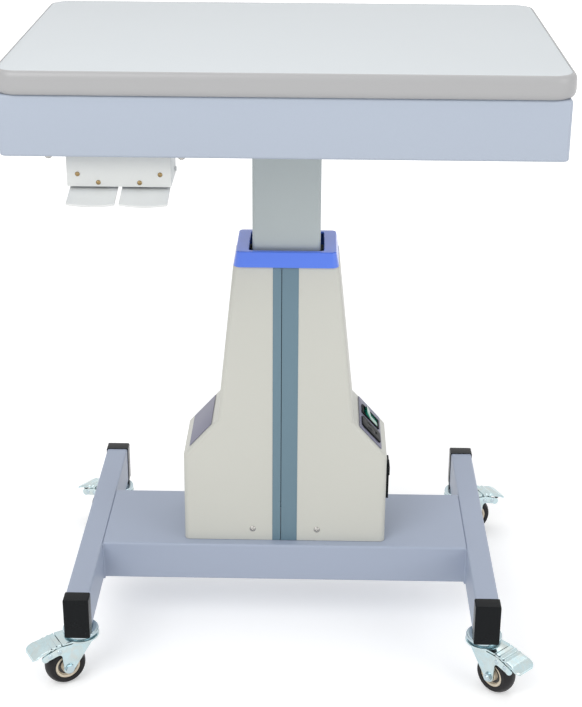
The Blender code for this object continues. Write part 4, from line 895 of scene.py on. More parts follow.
def blue_plastic():
    return coat("blue_plastic", settings().housing.collar, 0.30, drift=0.04, specks=0.03, grain_scale=1000.0,
                grain=0.10, grain_height=0.00004, marks=0.10, clear=0.5)


def strip_blue():
    return coat("strip_blue", settings().housing.strip, 0.48, drift=0.04, specks=0.06, speck_scale=1500.0,
                grain_scale=1500.0, grain=0.08, grain_height=0.00003, marks=0.10)


def panel_grey():
    return coat("panel_grey", settings().housing.plate, 0.46, drift=0.04, specks=0.06, speck_scale=1500.0,
                grain_scale=1500.0, grain=0.10, grain_height=0.00003)


def black_plastic():
    return coat("black_plastic", settings().control.moulding, 0.42, drift=0.10, specks=0.12,
                grain_scale=900.0, grain=0.14, marks=0.14, specular=0.10)


def cap_black():
    return coat("cap_black", settings().base.cap, 0.26, drift=0.10, specks=0.12, grain_scale=900.0,
                grain=0.10, marks=0.14, specular=0.16)


def green_lens():
    return coat("green_lens", settings().control.rocker, 0.16, drift_scale=60.0, specks=0.02,
                grain_scale=300.0, grain=0.03, marks=0.06, clear=0.6)


def white_paint():
    return coat("white_paint", settings().control.cover, 0.40, drift=0.025, specks=0.03, grain_scale=600.0,
                grain=0.14, marks=0.10)


def white_plastic():
    return coat("white_plastic", settings().control.cover, 0.30, drift=0.02, specks=0.02, grain_scale=900.0,
                grain=0.06, grain_height=0.00003, marks=0.10)


def brass():
    return coat("brass", settings().control.brass, 0.32, metallic=1.0, drift=0.16, drift_scale=90.0,
                specks=0.06, grain_scale=1800.0, grain=0.08, marks=0.20, marks_scale=120.0)


def zinc():
    s = settings().caster
    return coat("zinc", s.zinc, 0.20, metallic=1.0, drift=0.30, drift_scale=48.0, specks=0.10,
                speck_scale=700.0, grain_scale=300.0, grain=0.06, grain_height=0.00004, marks=0.24,
                marks_scale=70.0, second=s.passivated, patches=0.7)


# Steel of the swivel race, darker than the zinc. On the race it is painted dark reflection, and on the rivets
# and axle bolt that share it it is painted shade.
def shaded_race_steel():
    return coat("shaded_race_steel", settings().caster.race_shaded_tint, 0.14, metallic=1.0, drift=0.24, drift_scale=60.0,
                specks=0.06, grain_scale=500.0, grain=0.03, grain_height=0.00003, marks=0.16,
                marks_scale=80.0)


def tyre_black():
    return coat("tyre_black", settings().caster.tyre, 0.46, drift=0.20, drift_scale=60.0, specks=0.20,
                grain_scale=1200.0, grain=0.16, grain_height=0.00006, marks=0.20, marks_scale=60.0,
                specular=0.22)


def hub_cream():
    return coat("hub_cream", settings().caster.hub, 0.36, drift_scale=50.0, specks=0.04, grain_scale=1000.0,
                grain=0.08, grain_height=0.00004, marks_scale=60.0)


def seal_black():
    return coat("seal_black", settings().caster.seal, 0.42, drift=0.12, drift_scale=80.0, specks=0.08,
                grain=0.10)


def bright_steel():
    return coat("bright_steel", settings().drive.steel, 0.24, metallic=1.0, drift=0.10, drift_scale=40.0,
                specks=0.06, grain=0.10, grain_height=0.00003, marks=0.20, marks_scale=60.0,
                lines=(60.0, 1500.0, 1500.0))


def motor_black():
    return coat("motor_black", settings().drive.motor, 0.45, metallic=0.4, drift=0.10, specks=0.10,
                grain=0.16)


def cast_alloy():
    return coat("cast_alloy", settings().drive.alloy, 0.52, metallic=0.9, drift=0.12, drift_scale=30.0,
                specks=0.12, grain_scale=450.0, grain=0.35, grain_height=0.0001)


def guide_steel():
    return coat("guide_steel", settings().drive.guide, 0.48, metallic=0.5, drift=0.16, drift_scale=25.0,
                specks=0.08, grain=0.10, grain_height=0.00004, marks=0.16, marks_scale=30.0,
                lines=(500.0, 500.0, 5.0))


def glide_white():
    return coat("glide_white", settings().drive.glide, 0.46, drift=0.03, specks=0.03, grain=0.08)


# Table top

class BuildTop(bpy.types.Operator):
    """Laminated board with its bullnose band"""
    bl_idname = "instrument_table.top"
    bl_label = "Table Top"

    def execute(self, context):
        s = settings().top
        low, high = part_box("edge_band")
        wide, deep, tall = high - low
        inset = s.band_deep + HAIR
        corner = s.corner - inset

        def ring(shrink, height):
            less = 2 * (inset + shrink)
            return level(rounded(wide - less, deep - less, corner - shrink, steps=TOP_STEPS), height)

        soft = s.edge_soft
        board = skin([ring(soft, low.z), ring(0.0, low.z + soft), ring(0.0, high.z - soft),
                      ring(soft * BEND_SHARE, high.z - soft * BEND_SHARE), ring(soft, high.z)])
        piece("laminated_board", board, laminate(), "head", ["table_top_board"])
        sizes = {"Width": wide, "Depth": deep, "Corner": s.corner, "Band Deep": s.band_deep,
                 "Band Tall": tall, "Band Round": s.band_round, "Nose Stretch": s.nose_stretch}
        band = grown("bullnose_band", "bullnose_band", sizes, edge_grey(), [(0.0, 0.0, 0.0)])
        band.transform(Matrix.Translation((0.0, 0.0, (low.z + high.z) / 2)))
        piece("bullnose_band", band, edge_grey(), "head", ["edge_band"])
        return {"FINISHED"}


# Tray and column

class BuildTray(bpy.types.Operator):
    """Folded tray and the lifting column that carries it"""
    bl_idname = "instrument_table.tray"
    bl_label = "Tray and Column"

    def execute(self, context):
        s = settings().tray
        low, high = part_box("apron_tray")
        wide, deep, _ = high - low
        column_low, column_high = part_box("inner_column")
        column_wide, column_deep, _ = column_high - column_low
        hole = rounded(column_wide + 2 * HAIR, column_deep + 2 * HAIR, s.column_corner + HAIR)

        def ring(inset, height):
            corner = s.corner * (1 - inset / s.flange / 2)
            return level(rounded(wide - 2 * inset, deep - 2 * inset, corner), height)

        outer = arc((s.bend, s.bend), s.bend, 270, 180, 5)
        inner = arc((s.bend, s.bend), s.bend - s.wall, 180, 270, 4)
        rings = [level(hole, low.z)]
        rings += [ring(inset, low.z + height) for inset, height in outer]
        rings += [ring(inset, high.z - height) for inset, height in reversed(outer)]
        rings += [ring(s.flange, high.z), ring(s.flange, high.z - s.wall)]
        rings += [ring(inset, high.z - height) for inset, height in reversed(inner)]
        rings += [ring(inset, low.z + height) for inset, height in inner]
        rings += [level(hole, low.z + s.wall)]
        tray = skin(rings, loop=True)
        piece("folded_tray", tray, lavender_paint(), "head", ["apron_tray"])
        tube = box_tube(column_wide, column_deep, s.column_corner, s.column_wall, column_low.z, column_high.z)
        piece("column_tube", tube, column_grey(), "head", ["inner_column"])
        return {"FINISHED"}


# Housing

def housing_rows():
    """Foot height of the housing, and rows of height above it, half width and half depth."""
    s = settings().housing
    low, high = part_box("right_cover")
    tall = high.z - low.z

    def half_deep(height):
        return high.y + (s.top_deep / 2 - high.y) * height / tall

    rows = [(0.0, high.x), (s.shoulder_low, high.x),
            (s.shoulder_low + s.shoulder_tall, s.shoulder_wide / 2), (tall, s.top_wide / 2)]
    return low.z, [(height, wide, half_deep(height)) for height, wide in rows]


def front_at(height):
    """Half depth of the housing at a height above its foot."""
    _, rows = housing_rows()
    (first, _, deep_first), (last, _, deep_last) = rows[0], rows[-1]
    return deep_first + (deep_last - deep_first) * (height - first) / (last - first)


def shoulder_frame(side):
    """Matrix on the middle of a shoulder: X runs front to back, Y up the slope, Z out of it."""
    foot, rows = housing_rows()
    (low, wide_low, _), (high, wide_high, _) = rows[1], rows[2]
    up = Vector((side * (wide_high - wide_low), 0.0, high - low)).normalized()
    along = Vector((0.0, side, 0.0))
    matrix = Matrix((along, up, along.cross(up))).transposed().to_4x4()
    matrix.translation = (side * (wide_low + wide_high) / 2, 0.0, foot + (low + high) / 2)
    return matrix


def wall_frame():
    """Matrix on the right wall at the mains inlet: X runs front to back, Y up, Z out of it."""
    low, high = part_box("power_inlet")
    matrix = Matrix(((0, 1, 0), (0, 0, 1), (1, 0, 0))).transposed().to_4x4()
    matrix.translation = (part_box("right_cover")[1].x, 0.0, (low.z + high.z) / 2)
    return matrix


def extents(node, matrix, behind=False):
    """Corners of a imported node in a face's own frame, or only of what lies behind the face."""
    inverse = matrix.inverted()
    points = [inverse @ vert.co for vert in frame["nodes"][node].data.vertices]
    if behind:
        points = [point for point in points if point.z < -HAIR]
    low = Vector([min(point[k] for point in points) for k in range(3)])
    high = Vector([max(point[k] for point in points) for k in range(3)])
    return low, high


def window(node, matrix):
    """Cutter for the hole that a fitting needs in the wall."""
    low, high = extents(node, matrix, behind=True)
    reach = 4 * settings().housing.wall
    hole = block((low.x - HAIR, low.y - HAIR, -reach), (high.x + HAIR, high.y + HAIR, reach))
    return posed(hole, matrix)


def half_shell(side):
    """Left or right half of the housing's wall, with rounded shoulders."""
    s = settings().housing
    foot, rows = housing_rows()
    low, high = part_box("left_cover" if side < 0 else "right_cover")
    seam = -high.x if side < 0 else low.x

    def path(across, deep, inset):
        radius = max(s.corner - inset, s.corner / 4)
        corner_x, corner_y = across - inset - radius, deep - inset - radius
        points = [(seam, -deep + inset)] + arc((corner_x, -corner_y), radius, -90, 0, 8)
        return points + arc((corner_x, corner_y), radius, 0, 90, 8) + [(seam, deep - inset)]

    rings = []
    for height, across, deep in rows:
        outline = path(across, deep, 0.0) + list(reversed(path(across, deep, s.wall)))
        rings.append([(side * x, y, foot + height) for x, y in outline])
    return softened(skin(rings), s.fold, segments=3, angle=14.0)


class BuildHousing(bpy.types.Operator):
    """Half shells with their strips, bare plate, screws and collar"""
    bl_idname = "instrument_table.housing"
    bl_label = "Housing"

    def execute(self, context):
        s = settings().housing
        piece("left_shell", half_shell(-1), ivory_plastic(), "base", ["left_cover"])
        slope = shoulder_frame(1)
        right = cut(half_shell(1), window("switch_panel", slope), window("outlet_socket", slope),
                    window("power_inlet", wall_frame()))
        piece("right_shell", right, ivory_plastic(), "base", ["right_cover"])
        left_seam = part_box("left_cover")[1].x
        right_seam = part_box("right_cover")[0].x
        self.strip("strip_left", left_seam - s.strip_left, left_seam + s.strip_over)
        self.strip("strip_right", right_seam - s.strip_over, right_seam + s.strip_right)
        plate = prism(rounded(s.plate_long, s.plate_tall, s.plate_corner), HAIR, HAIR + s.plate_thick)
        plate = posed(softened(plate, s.plate_thick / 3), shoulder_frame(-1))
        piece("bare_plate", plate, panel_grey(), "base")
        self.screws()
        self.collar()
        return {"FINISHED"}

    def strip(self, name, first, last):
        """Thin coloured strip on the front, beside the seam."""
        s = settings().housing
        foot, rows = housing_rows()
        rings = []
        for height in (HAIR, rows[-1][0] - HAIR):
            back = -front_at(height) + HAIR
            front = -front_at(height) - s.strip_thick
            z = foot + height
            rings.append([(first, back, z), (last, back, z), (last, front, z), (first, front, z)])
        strip = softened(skin(rings), s.strip_thick / 3)
        piece(name, strip, strip_blue(), "base")

    def screws(self):
        """Four cover screws, two at the front and two at the back."""
        s = settings().housing
        foot, rows = housing_rows()
        lean = (rows[0][2] - rows[-1][2]) / rows[-1][0]
        places = []
        for end in (-1, 1):
            for across in (-1, 1):
                point = (across * s.screw_spread / 2, end * front_at(s.screw_up), foot + s.screw_up)
                places.append((point, (0.0, end, lean)))
        cross_heads("cover_screws", bright_steel(), "base", places, s.screw_radius, s.screw_rise,
                    s.screw_slot)

    def collar(self):
        """Drafted collar with a soft upper edge and a clear hole for the column."""
        s = settings().housing
        low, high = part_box("collar")
        column_low, column_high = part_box("inner_column")
        wide, deep, _ = high - low
        hole_wide = column_high.x - column_low.x + 2 * s.collar_clear
        hole_deep = column_high.y - column_low.y + 2 * s.collar_clear
        hole_corner = settings().tray.column_corner
        steps = 10

        def ring(inset, height):
            outline = rounded(wide - 2 * inset, deep - 2 * inset, s.collar_corner - inset, steps=steps)
            return level(outline, height)

        def mouth(grow, height):
            outline = rounded(hole_wide + 2 * grow, hole_deep + 2 * grow, hole_corner + grow, steps=steps)
            return level(outline, height)

        soft = s.collar_round
        rings = [ring(0.0, low.z)]
        rings += [ring(s.collar_draft + inset, high.z - drop)
                  for inset, drop in arc((soft, soft), soft, 180, 270, 6)]
        rings += [mouth(soft / 2, high.z), mouth(0.0, high.z - soft / 2), mouth(0.0, high.z - s.collar_top)]
        rings += [ring(s.collar_draft + s.wall, high.z - s.collar_top), ring(s.collar_seat, low.z)]
        piece("blue_collar", skin(rings, loop=True), blue_plastic(), "base", ["collar"])


# Mains fittings

class BuildMains(bpy.types.Operator):
    """Switch panel, rocker, outlet and mains inlet"""
    bl_idname = "instrument_table.mains"
    bl_label = "Mains Fittings"

    def execute(self, context):
        s = settings().housing
        slope = shoulder_frame(1)
        plate = posed(self.plate(slope), slope)
        piece("switch_plate", plate, panel_grey(), "base", ["switch_panel"])
        piece("switch_bezel", posed(self.bezel(slope), slope), black_plastic(), "base")
        for name, node in (("outlet_face", "outlet_socket"), ("inlet_face", "power_inlet")):
            piece(name, refined(node, s.moulded_edge), black_plastic(), "base", [node])
        rocker = refined("power_rocker", s.moulded_edge, segments=3)
        piece("lit_rocker", rocker, green_lens(), "power_rocker", ["power_rocker"])
        return {"FINISHED"}

    def plate(self, slope):
        """Thin panel with windows for the bezel and the outlet."""
        s = settings().housing
        low, high = extents("switch_panel", slope)
        outline = rounded(high.x - low.x, high.y - low.y, s.plate_corner)
        plate = prism(outline, HAIR, HAIR + s.panel_thick)
        plate = cut(plate, self.hole(slope, "switch_panel"), self.hole(slope, "outlet_socket"))
        return softened(plate, HAIR / 2)

    def hole(self, slope, node):
        """Window for a fitting, in the slope's own frame."""
        return posed(window(node, slope), slope.inverted())

    def bezel(self, slope):
        """Black frame round the rocker, with a soft front."""
        s = settings().housing
        low, high = extents("switch_panel", slope, behind=True)
        top = extents("switch_panel", slope)[1].z
        middle = ((low.x + high.x) / 2, (low.y + high.y) / 2)
        wide, tall = high.x - low.x, high.y - low.y
        rim = s.bezel_rim
        soft = rim / 3

        def ring(inset, corner, height):
            return level(rounded(wide - 2 * inset, tall - 2 * inset, corner, middle), height)

        rings = [ring(0.0, rim, low.z), ring(0.0, rim, top - soft)]
        rings += [ring(soft * BEND_SHARE, rim, top - soft * BEND_SHARE), ring(soft, rim, top)]
        rings += [ring(rim - soft, rim / 2, top), ring(rim, rim / 4, top - soft), ring(rim, rim / 4, low.z)]
        return skin(rings, loop=True)


# Hand control

class BuildControl(bpy.types.Operator):
    """Folded cover with its screws and the two paddles"""
    bl_idname = "instrument_table.control"
    bl_label = "Hand Control"

    def execute(self, context):
        s = settings().control
        cover = refined("control_bracket", s.fold)
        piece("folded_cover", cover, white_paint(), "head", ["control_bracket"])
        for node in ("up_paddle", "down_paddle"):
            piece(node + "_moulding", refined(node, s.fold), white_plastic(), node, [node])
        dress(["paddle_pin"], white_paint())
        dress(["up_switch", "down_switch"], black_plastic())
        self.screws()
        self.tray_screws()
        return {"FINISHED"}

    def screws(self):
        """Brass screws on the cover's front."""
        s = settings().control
        low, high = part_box("control_bracket")
        middle = (low.x + high.x) / 2
        places = []
        for side in (-1, 1):
            for spread, up in ((s.upper_spread, s.upper_up), (s.lower_spread, s.lower_up)):
                places.append(((middle + side * spread / 2, low.y, low.z + up), (0.0, -1.0, 0.0)))
        cross_heads("control_screws", brass(), "head", places, s.screw_radius, s.screw_rise, s.screw_slot)

    def tray_screws(self):
        """Two larger heads under the tray's front edge, one on each side of the cover."""
        s = settings().control
        low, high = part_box("control_bracket")
        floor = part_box("apron_tray")[0]
        places = []
        for x in (low.x - s.tray_screw_out, high.x + s.tray_screw_out):
            places.append(((x, floor.y + s.tray_screw_in, floor.z), (0.0, 0.0, -1.0)))
        cross_heads("tray_screw_heads", bright_steel(), "head", places, s.tray_screw, s.tray_screw_rise,
                    s.screw_slot)


# Base

class BuildBase(bpy.types.Operator):
    """Legs, beam, end caps and foot bolts"""
    bl_idname = "instrument_table.base"
    bl_label = "Base"

    def execute(self, context):
        s = settings().base
        for node in ("left_leg", "right_leg"):
            low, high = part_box(node)
            wide, long, tall = high - low
            tube = box_tube(wide, tall, s.leg_corner, s.leg_wall, -long / 2, long / 2)
            self.lay(node, tube, (low + high) / 2, ALONG_Y)
        low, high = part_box("cross_beam")
        long, wide, tall = high - low
        tube = box_tube(tall, wide, s.beam_corner, s.beam_wall, -long / 2, long / 2)
        self.lay("cross_beam", tube, (low + high) / 2, ALONG_X)
        for name in CASTER_NAMES:
            self.cap(name + "_cap")
        self.welds()
        dress([f"foot_bolt_{k}" for k in range(1, 5)], bright_steel())
        return {"FINISHED"}

    def lay(self, node, tube, middle, way):
        """A tube of the base laid along its way, with soft sawn ends."""
        tube = softened(tube, settings().base.edge_soft, segments=1, angle=60.0)
        tube = posed(tube, Matrix.Translation(middle) @ way)
        piece(node + "_tube", tube, base_paint(), "base", [node])

    def cap(self, node):
        """Push-on cap with a soft face."""
        s = settings().base
        low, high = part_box(node)
        size = high - low
        leg_low, leg_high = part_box("left_leg" if "left" in node else "right_leg")
        inner_wide = leg_high.x - leg_low.x + 2 * HAIR
        inner_tall = leg_high.z - leg_low.z + 2 * HAIR
        soft = s.cap_soft
        steps = 6

        def ring(inset, along):
            corner = s.cap_corner - inset / 2
            return level(rounded(size.x - 2 * inset, size.z - 2 * inset, corner, steps=steps), along)

        rings = [ring(inset, along) for inset, along in arc((soft, soft), soft, 270, 180, 4)]
        rings.append(ring(0.0, size.y))
        inside = rounded(inner_wide, inner_tall, s.leg_corner + HAIR, steps=steps)
        rings += [level(inside, size.y), level(inside, s.cap_face)]
        front = "front" in node
        way = ALONG_Y if front else ALONG_Y.inverted()
        end = low.y if front else high.y
        place = Matrix.Translation(((low.x + high.x) / 2, end, (low.z + high.z) / 2))
        cap = posed(skin(rings), place @ way)
        piece(node + "_moulding", cap, cap_black(), "base", [node])

    def welds(self):
        """Painted weld beads round the beam's ends, where they meet the legs."""
        s = settings().base
        low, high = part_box("cross_beam")
        deep = s.weld / 3
        points = []
        edges = []
        for x in (low.x, high.x):
            first = len(points)
            points += [(x, low.y - deep, high.z - s.beam_corner), (x, low.y - deep, low.z - deep),
                       (x, high.y + deep, low.z - deep), (x, high.y + deep, high.z - s.beam_corner)]
            edges += [(first, first + 1), (first + 1, first + 2), (first + 2, first + 3)]
        sizes = {"Bead Radius": s.weld, "Bead Pitch": s.weld_pitch}
        beads = grown("weld_beads", "weld_beads", sizes, base_paint(), points, edges=edges)
        piece("weld_beads", beads, base_paint(), "base")


# Casters

def joint_place(name):
    """Place and axis of a joint."""
    joint = JOINTS[name]
    return Vector(joint["pos_m"]), Vector(joint["axis"])


class CasterPlan:
    """Places of one caster's joints in its own frame: X along the trail, Z up, origin on the floor."""

    def __init__(self, name):
        swivel, _ = joint_place(name + "_turn")
        axle, across = joint_place(name + "_roll")
        pin, _ = joint_place(name + "_brake")
        heading = math.atan2(-across.x, across.y)
        self.name = name
        self.matrix = Matrix.Translation((swivel.x, swivel.y, 0.0)) @ Matrix.Rotation(heading, 4, "Z")
        inverse = self.matrix.inverted()
        self.axle = inverse @ axle
        self.pin = inverse @ pin
        self.wheel = Matrix.Translation(self.axle) @ ALONG_Y
        self.fork_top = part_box(name + "_fork")[1].z
        self.race_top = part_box(name + "_race")[1].z

    def put(self, label, shape, material, body, nodes=(), sharp=SHARP):
        """A piece of this caster, moved to its place."""
        return piece(f"{self.name}_{label}", posed(shape, self.matrix), material, body, nodes, sharp)


class BuildCasters(bpy.types.Operator):
    """Four swivel casters with brake pedals"""
    bl_idname = "instrument_table.casters"
    bl_label = "Casters"

    def execute(self, context):
        for name in CASTER_NAMES:
            plan = CasterPlan(name)
            node = name + "_"
            swivel = node + "swivel"
            wheel = node + "wheel"
            # The race's darker steel is painted dark reflection. The axle bolt below takes the same steel as
            # painted shade against the zinc.
            plan.put("bearing", self.race(plan), shaded_race_steel(), "base", [node + "race"])
            plan.put("stamping", self.fork(plan), zinc(), swivel, [node + "fork"])
            plan.put("axle_bolt", self.axle(plan), shaded_race_steel(), swivel, [node + "axle"])
            plan.put("wheel_core", self.hub(plan), hub_cream(), wheel, [node + "hub"])
            plan.put("wheel_seal", self.seal(plan), seal_black(), wheel)
            plan.put("tread", self.tread(plan), tyre_black(), wheel, [node + "tyre"])
            pedal = node + "pedal"
            plan.put("foot_plate", self.pedal(plan), zinc(), pedal, [pedal], sharp=25.0)
            plan.put("brake_pad", self.pad(plan), tyre_black(), pedal)
            self.rivets(plan, swivel)
        return {"FINISHED"}

    def race(self, plan):
        """Stem, swivel race with a groove and rolled edges, and the king pin with its head."""
        s = settings().caster
        foot = plan.fork_top + HAIR
        shelf = foot + s.race_neck_tall
        top = shelf + s.race_tall
        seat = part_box("left_leg")[0].z - HAIR
        stem = [(0.0, plan.race_top), (s.stem - s.soft, plan.race_top), (s.stem, plan.race_top - s.soft),
                (s.stem, seat)]
        groove = s.race_groove
        cup = [(s.race_seat, seat), (s.race_seat, top), (groove - s.soft, top), (groove, top - s.soft),
               (groove + s.soft, top - s.soft), (groove + 2 * s.soft, top)]
        edge = s.race_round
        cup += arc((s.race - edge, top - edge), edge, 90, 0, 6)
        cup += arc((s.race - s.soft, shelf + s.soft), s.soft, 0, -90, 3)
        cup += [(s.race_neck + s.soft, shelf), (s.race_neck, shelf - s.soft)]
        cup += [(s.race_neck, foot + 2 * s.soft), (s.race_neck + 2 * s.soft, foot), (s.king, foot)]
        under = plan.fork_top - s.fork_sheet - HAIR
        king = [(s.king, under), (s.king_head, under), (s.king_head, under - s.king_tall + s.soft),
                (s.king_head - s.soft, under - s.king_tall), (0.0, under - s.king_tall)]
        return turned(stem + cup + king, s.steps)

    def cheek_outline(self, plan):
        """Side view of a cheek: shoulder, arm with its hooked nose, crotch over the wheel and axle eye."""
        s = settings().caster
        axle = (plan.axle.x, plan.axle.z)
        top = plan.fork_top - s.soft
        nose = (axle[0] + s.nose_out, axle[1] + s.nose_up)
        crotch = (axle[0] + s.crotch_out, axle[1] + s.crotch_up)
        outline = [(-s.cheek_rear, top), (s.cheek_shoulder, top)]
        outline += arc((s.cheek_shoulder + s.cheek_step, top), s.cheek_step, *STEP_SWEEP)
        outline += [(s.arm_knee, plan.fork_top - s.arm_drop)]
        outline += arc(nose, s.nose_round, *HOOK_SWEEP)
        outline += arc(crotch, s.crotch_round, *CROTCH_SWEEP)
        outline += arc(axle, s.fork_eye, *EYE_SWEEP)
        return outline

    def fork(self, plan):
        """Stamped fork: round top with a tongue, two cheeks and the pressed flare between them."""
        s = settings().caster
        half = s.fork_wide / 2
        edge = half - HAIR / 2
        spread = math.degrees(math.asin(edge / s.fork_disc))
        disc = arc((0.0, 0.0), s.fork_disc, spread, 360 - spread, s.steps)
        corner = s.tongue_corner
        disc += arc((s.tongue - corner, -edge + corner), corner, -90, 0, 4)
        disc += arc((s.tongue - corner, edge - corner), corner, 0, 90, 4)
        top = softened(prism(disc, plan.fork_top - s.fork_sheet, plan.fork_top), s.soft, angle=40.0)
        outline = self.cheek_outline(plan)
        solids = []
        for side in (-1, 1):
            cheek = slab(outline, side * half, side * (half - s.fork_sheet))
            solids.append(softened(cheek, s.soft, angle=40.0))
            solids.append(self.flare(plan, side))
        bore = prism(circle(s.king + HAIR), 0.0, plan.race_top)
        return cut(joined(top, *solids), bore)

    def flare(self, plan, side):
        """Pressed transition from the disc's rim down to one cheek."""
        s = settings().caster
        half = s.fork_wide / 2
        reach = math.sqrt(s.fork_disc ** 2 - (half + s.soft) ** 2)
        high = plan.fork_top - s.soft
        stations = 18
        rows = 8
        rings = []
        for k in range(stations + 1):
            x = reach * (2 * k / stations - 1)
            rim = math.sqrt(s.fork_disc ** 2 - x * x) - s.soft / 2
            drop = s.skirt + (s.flare_tall - s.skirt) * min(1.0, (x + reach) / reach)
            shape = []
            for row in range(rows + 1):
                t = row / rows
                out = half + (rim - half) * (1 - t) ** 2 - s.soft / 4
                shape.append((out, high - drop * t))
            inner = [(out - s.fork_sheet + s.soft, z) for out, z in reversed(shape)]
            rings.append([(x, side * out, z) for out, z in shape + inner])
        return skin(rings)

    def axle(self, plan):
        """Axle bolt: washer and hexagon nut on one side, washer and hexagon head on the other."""
        s = settings().caster
        half = s.fork_wide / 2 + HAIR
        seat = half + s.washer_thick
        washer = turned([(0.0, half), (s.washer, half), (s.washer, seat), (0.0, seat)], s.steps)
        shank = prism(circle(s.axle), -half - s.soft, half + s.soft)
        parts = [shank]
        for side in (-1, 1):
            low = seat - s.washer_thick / 2
            high = low + s.nut_tall
            nut = prism(circle(s.nut, 6), low, high + s.soft)
            flat = s.nut * math.cos(math.radians(30))
            wide = s.nut + s.soft
            under = low - s.soft
            chamfer = [(0.0, under), (wide, under), (wide, high - s.soft), (flat, high), (0.0, high)]
            nut = boolean(nut, [turned(chamfer, s.steps)], "INTERSECT")
            flip = Matrix.Scale(side, 4, (0, 0, 1))
            parts += [posed(nut, flip), posed(washer.copy(), flip)]
        washer.free()
        tip = seat + s.nut_tall + s.axle_out
        thread = s.axle - s.soft
        end = [(0.0, half), (thread, half), (thread, tip - s.soft), (thread - s.soft, tip), (0.0, tip)]
        parts.append(posed(turned(end, s.steps), Matrix.Scale(-1, 4, (0, 0, 1))))
        for part in parts:
            bmesh.ops.recalc_face_normals(part, faces=part.faces[:])
        return posed(joined(*parts), plan.wheel)

    def hub(self, plan):
        """Cream wheel core with a rolled rim and a dished face."""
        s = settings().caster
        half = s.wheel_wide / 2
        rim = plan.axle.z - s.tread_deep
        face = half - s.hub_in
        boss_end = s.fork_wide / 2 - s.fork_sheet - HAIR
        dish = face - s.hub_dish
        soft = s.soft
        near = [(s.axle + HAIR, boss_end), (s.hub_boss - soft, boss_end), (s.hub_boss, boss_end - soft),
                (s.hub_boss, dish + soft), (s.hub_boss + soft, dish), (rim - s.hub_rim - soft, dish),
                (rim - s.hub_rim, dish + soft)]
        near += arc((rim - s.hub_rim + 2 * soft, face - 2 * soft), 2 * soft, 180, 90, 4)
        near += arc((rim - soft, face - soft), soft, 90, 0, 3)
        profile = near + [(radius, -height) for radius, height in reversed(near)]
        return posed(turned(profile, s.steps), plan.wheel)

    def seal(self, plan):
        """Dark bearing seals in the two dishes of the wheel core."""
        s = settings().caster
        face = s.wheel_wide / 2 - s.hub_in - s.hub_dish
        inner = s.hub_boss + s.soft
        outer = plan.axle.z - s.tread_deep - s.hub_rim - s.seal_ring
        solids = []
        for side in (-1, 1):
            low, high = sorted((side * (face - HAIR), side * (face + s.seal_thick)))
            ring = [(inner, low), (outer, low), (outer, high), (inner, high)]
            solids.append(softened(turned(ring, s.steps), s.seal_thick / 4))
        return posed(joined(*solids), plan.wheel)

    def tread(self, plan):
        """Crowned black tread."""
        s = settings().caster
        radius = plan.axle.z
        half = s.wheel_wide / 2
        rise = radius - s.crown
        reach = math.degrees(math.asin((half - s.tread_soft) / s.crown))
        crown = [(rise + up, along) for up, along in arc((0.0, 0.0), s.crown, reach, -reach, 18)]
        edge = crown[0][0]
        inner = radius - s.tread_deep
        near = [(inner + HAIR, half - s.tread_soft), (inner + s.tread_soft, half),
                (edge - s.tread_soft, half)]
        profile = near + crown + [(r, -along) for r, along in reversed(near)]
        return posed(turned(profile, s.tread_steps), plan.wheel)

    def pedal_top(self, plan, x):
        """Height of the foot plate at a distance along the caster, with its ribs, fold and lip."""
        s = settings().caster
        start = s.tongue + s.pedal_gap
        span = s.pedal_reach - start
        fold = start + span * s.tip_from
        steeper = math.tan(s.tip_slope) - math.tan(s.pedal_slope)
        height = plan.fork_top - math.tan(s.pedal_slope) * max(x - start, 0.0)
        past = x - fold + s.fold_half
        if past > 2 * s.fold_half:
            height -= steeper * (past - s.fold_half)
        elif past > 0.0:
            height -= steeper * past ** 2 / (4 * s.fold_half)
        for middle in (s.rib_first, s.rib_second):
            near = abs((x - start) / span - middle) / s.rib_half
            if near < 1.0:
                height += s.rib_rise * math.cos(near * math.pi / 2) ** 2
        curl = max(0.0, x - s.pedal_reach + s.lip) / s.lip
        return height - s.lip * (1 - math.sqrt(max(0.0, 1 - curl * curl)))

    def pedal(self, plan):
        """Pressed foot plate with rolled sides, two lugs on the hinge pin and the stem of the shoe."""
        s = settings().caster
        start = s.tongue + s.pedal_gap
        stations = 60
        columns = 18
        rings = []
        for k in range(stations + 1):
            t = k / stations
            x = start + (s.pedal_reach - start) * t
            top = self.pedal_top(plan, x)
            wide = s.fork_wide / 2 + s.pedal_flare * t
            wide -= s.pedal_waist * math.sin(math.pi * min(t / s.tip_from, 1.0))
            past = max(0.0, x - s.pedal_reach + s.pedal_corner) / s.pedal_corner
            wide -= s.pedal_corner * (1 - math.sqrt(max(0.0, 1 - past * past)))
            upper = []
            for column in range(columns + 1):
                y = wide * math.sin(math.pi / 2 * (2 * column / columns - 1))
                past = max(0.0, abs(y) - wide + 3 * s.pedal_roll) / (3 * s.pedal_roll)
                upper.append((x, y, top - s.pedal_roll * past ** 2))
            lower = [(x, y, z - s.pedal_sheet) for x, y, z in reversed(upper)]
            rings.append(upper + lower)
        sheet = skin(rings)
        return joined(sheet, *self.lugs(plan), self.shoe_stem(plan))

    def lugs(self, plan):
        """Two lugs under the foot plate that hold the hinge pin."""
        s = settings().caster
        start = s.tongue + s.pedal_gap
        under = plan.fork_top - s.pedal_sheet + s.soft / 2
        outside = s.fork_wide / 2 - s.fork_sheet - HAIR
        eye = s.lug_eye
        pin = (plan.pin.x, plan.pin.z)
        outline = [(pin[0] + eye, under - s.soft * 2), (start + s.pedal_sheet, under)]
        outline += arc(pin, eye, *LUG_SWEEP)
        solids = []
        for side in (-1, 1):
            solids.append(slab(outline, side * outside, side * (outside - s.lug_sheet)))
        return solids

    def shoe_angles(self, plan):
        """Arc of the shoe over the tread: inner radius, first and last angle."""
        s = settings().caster
        return plan.axle.z + s.shoe_clear, math.degrees(s.shoe_first), math.degrees(s.shoe_last)

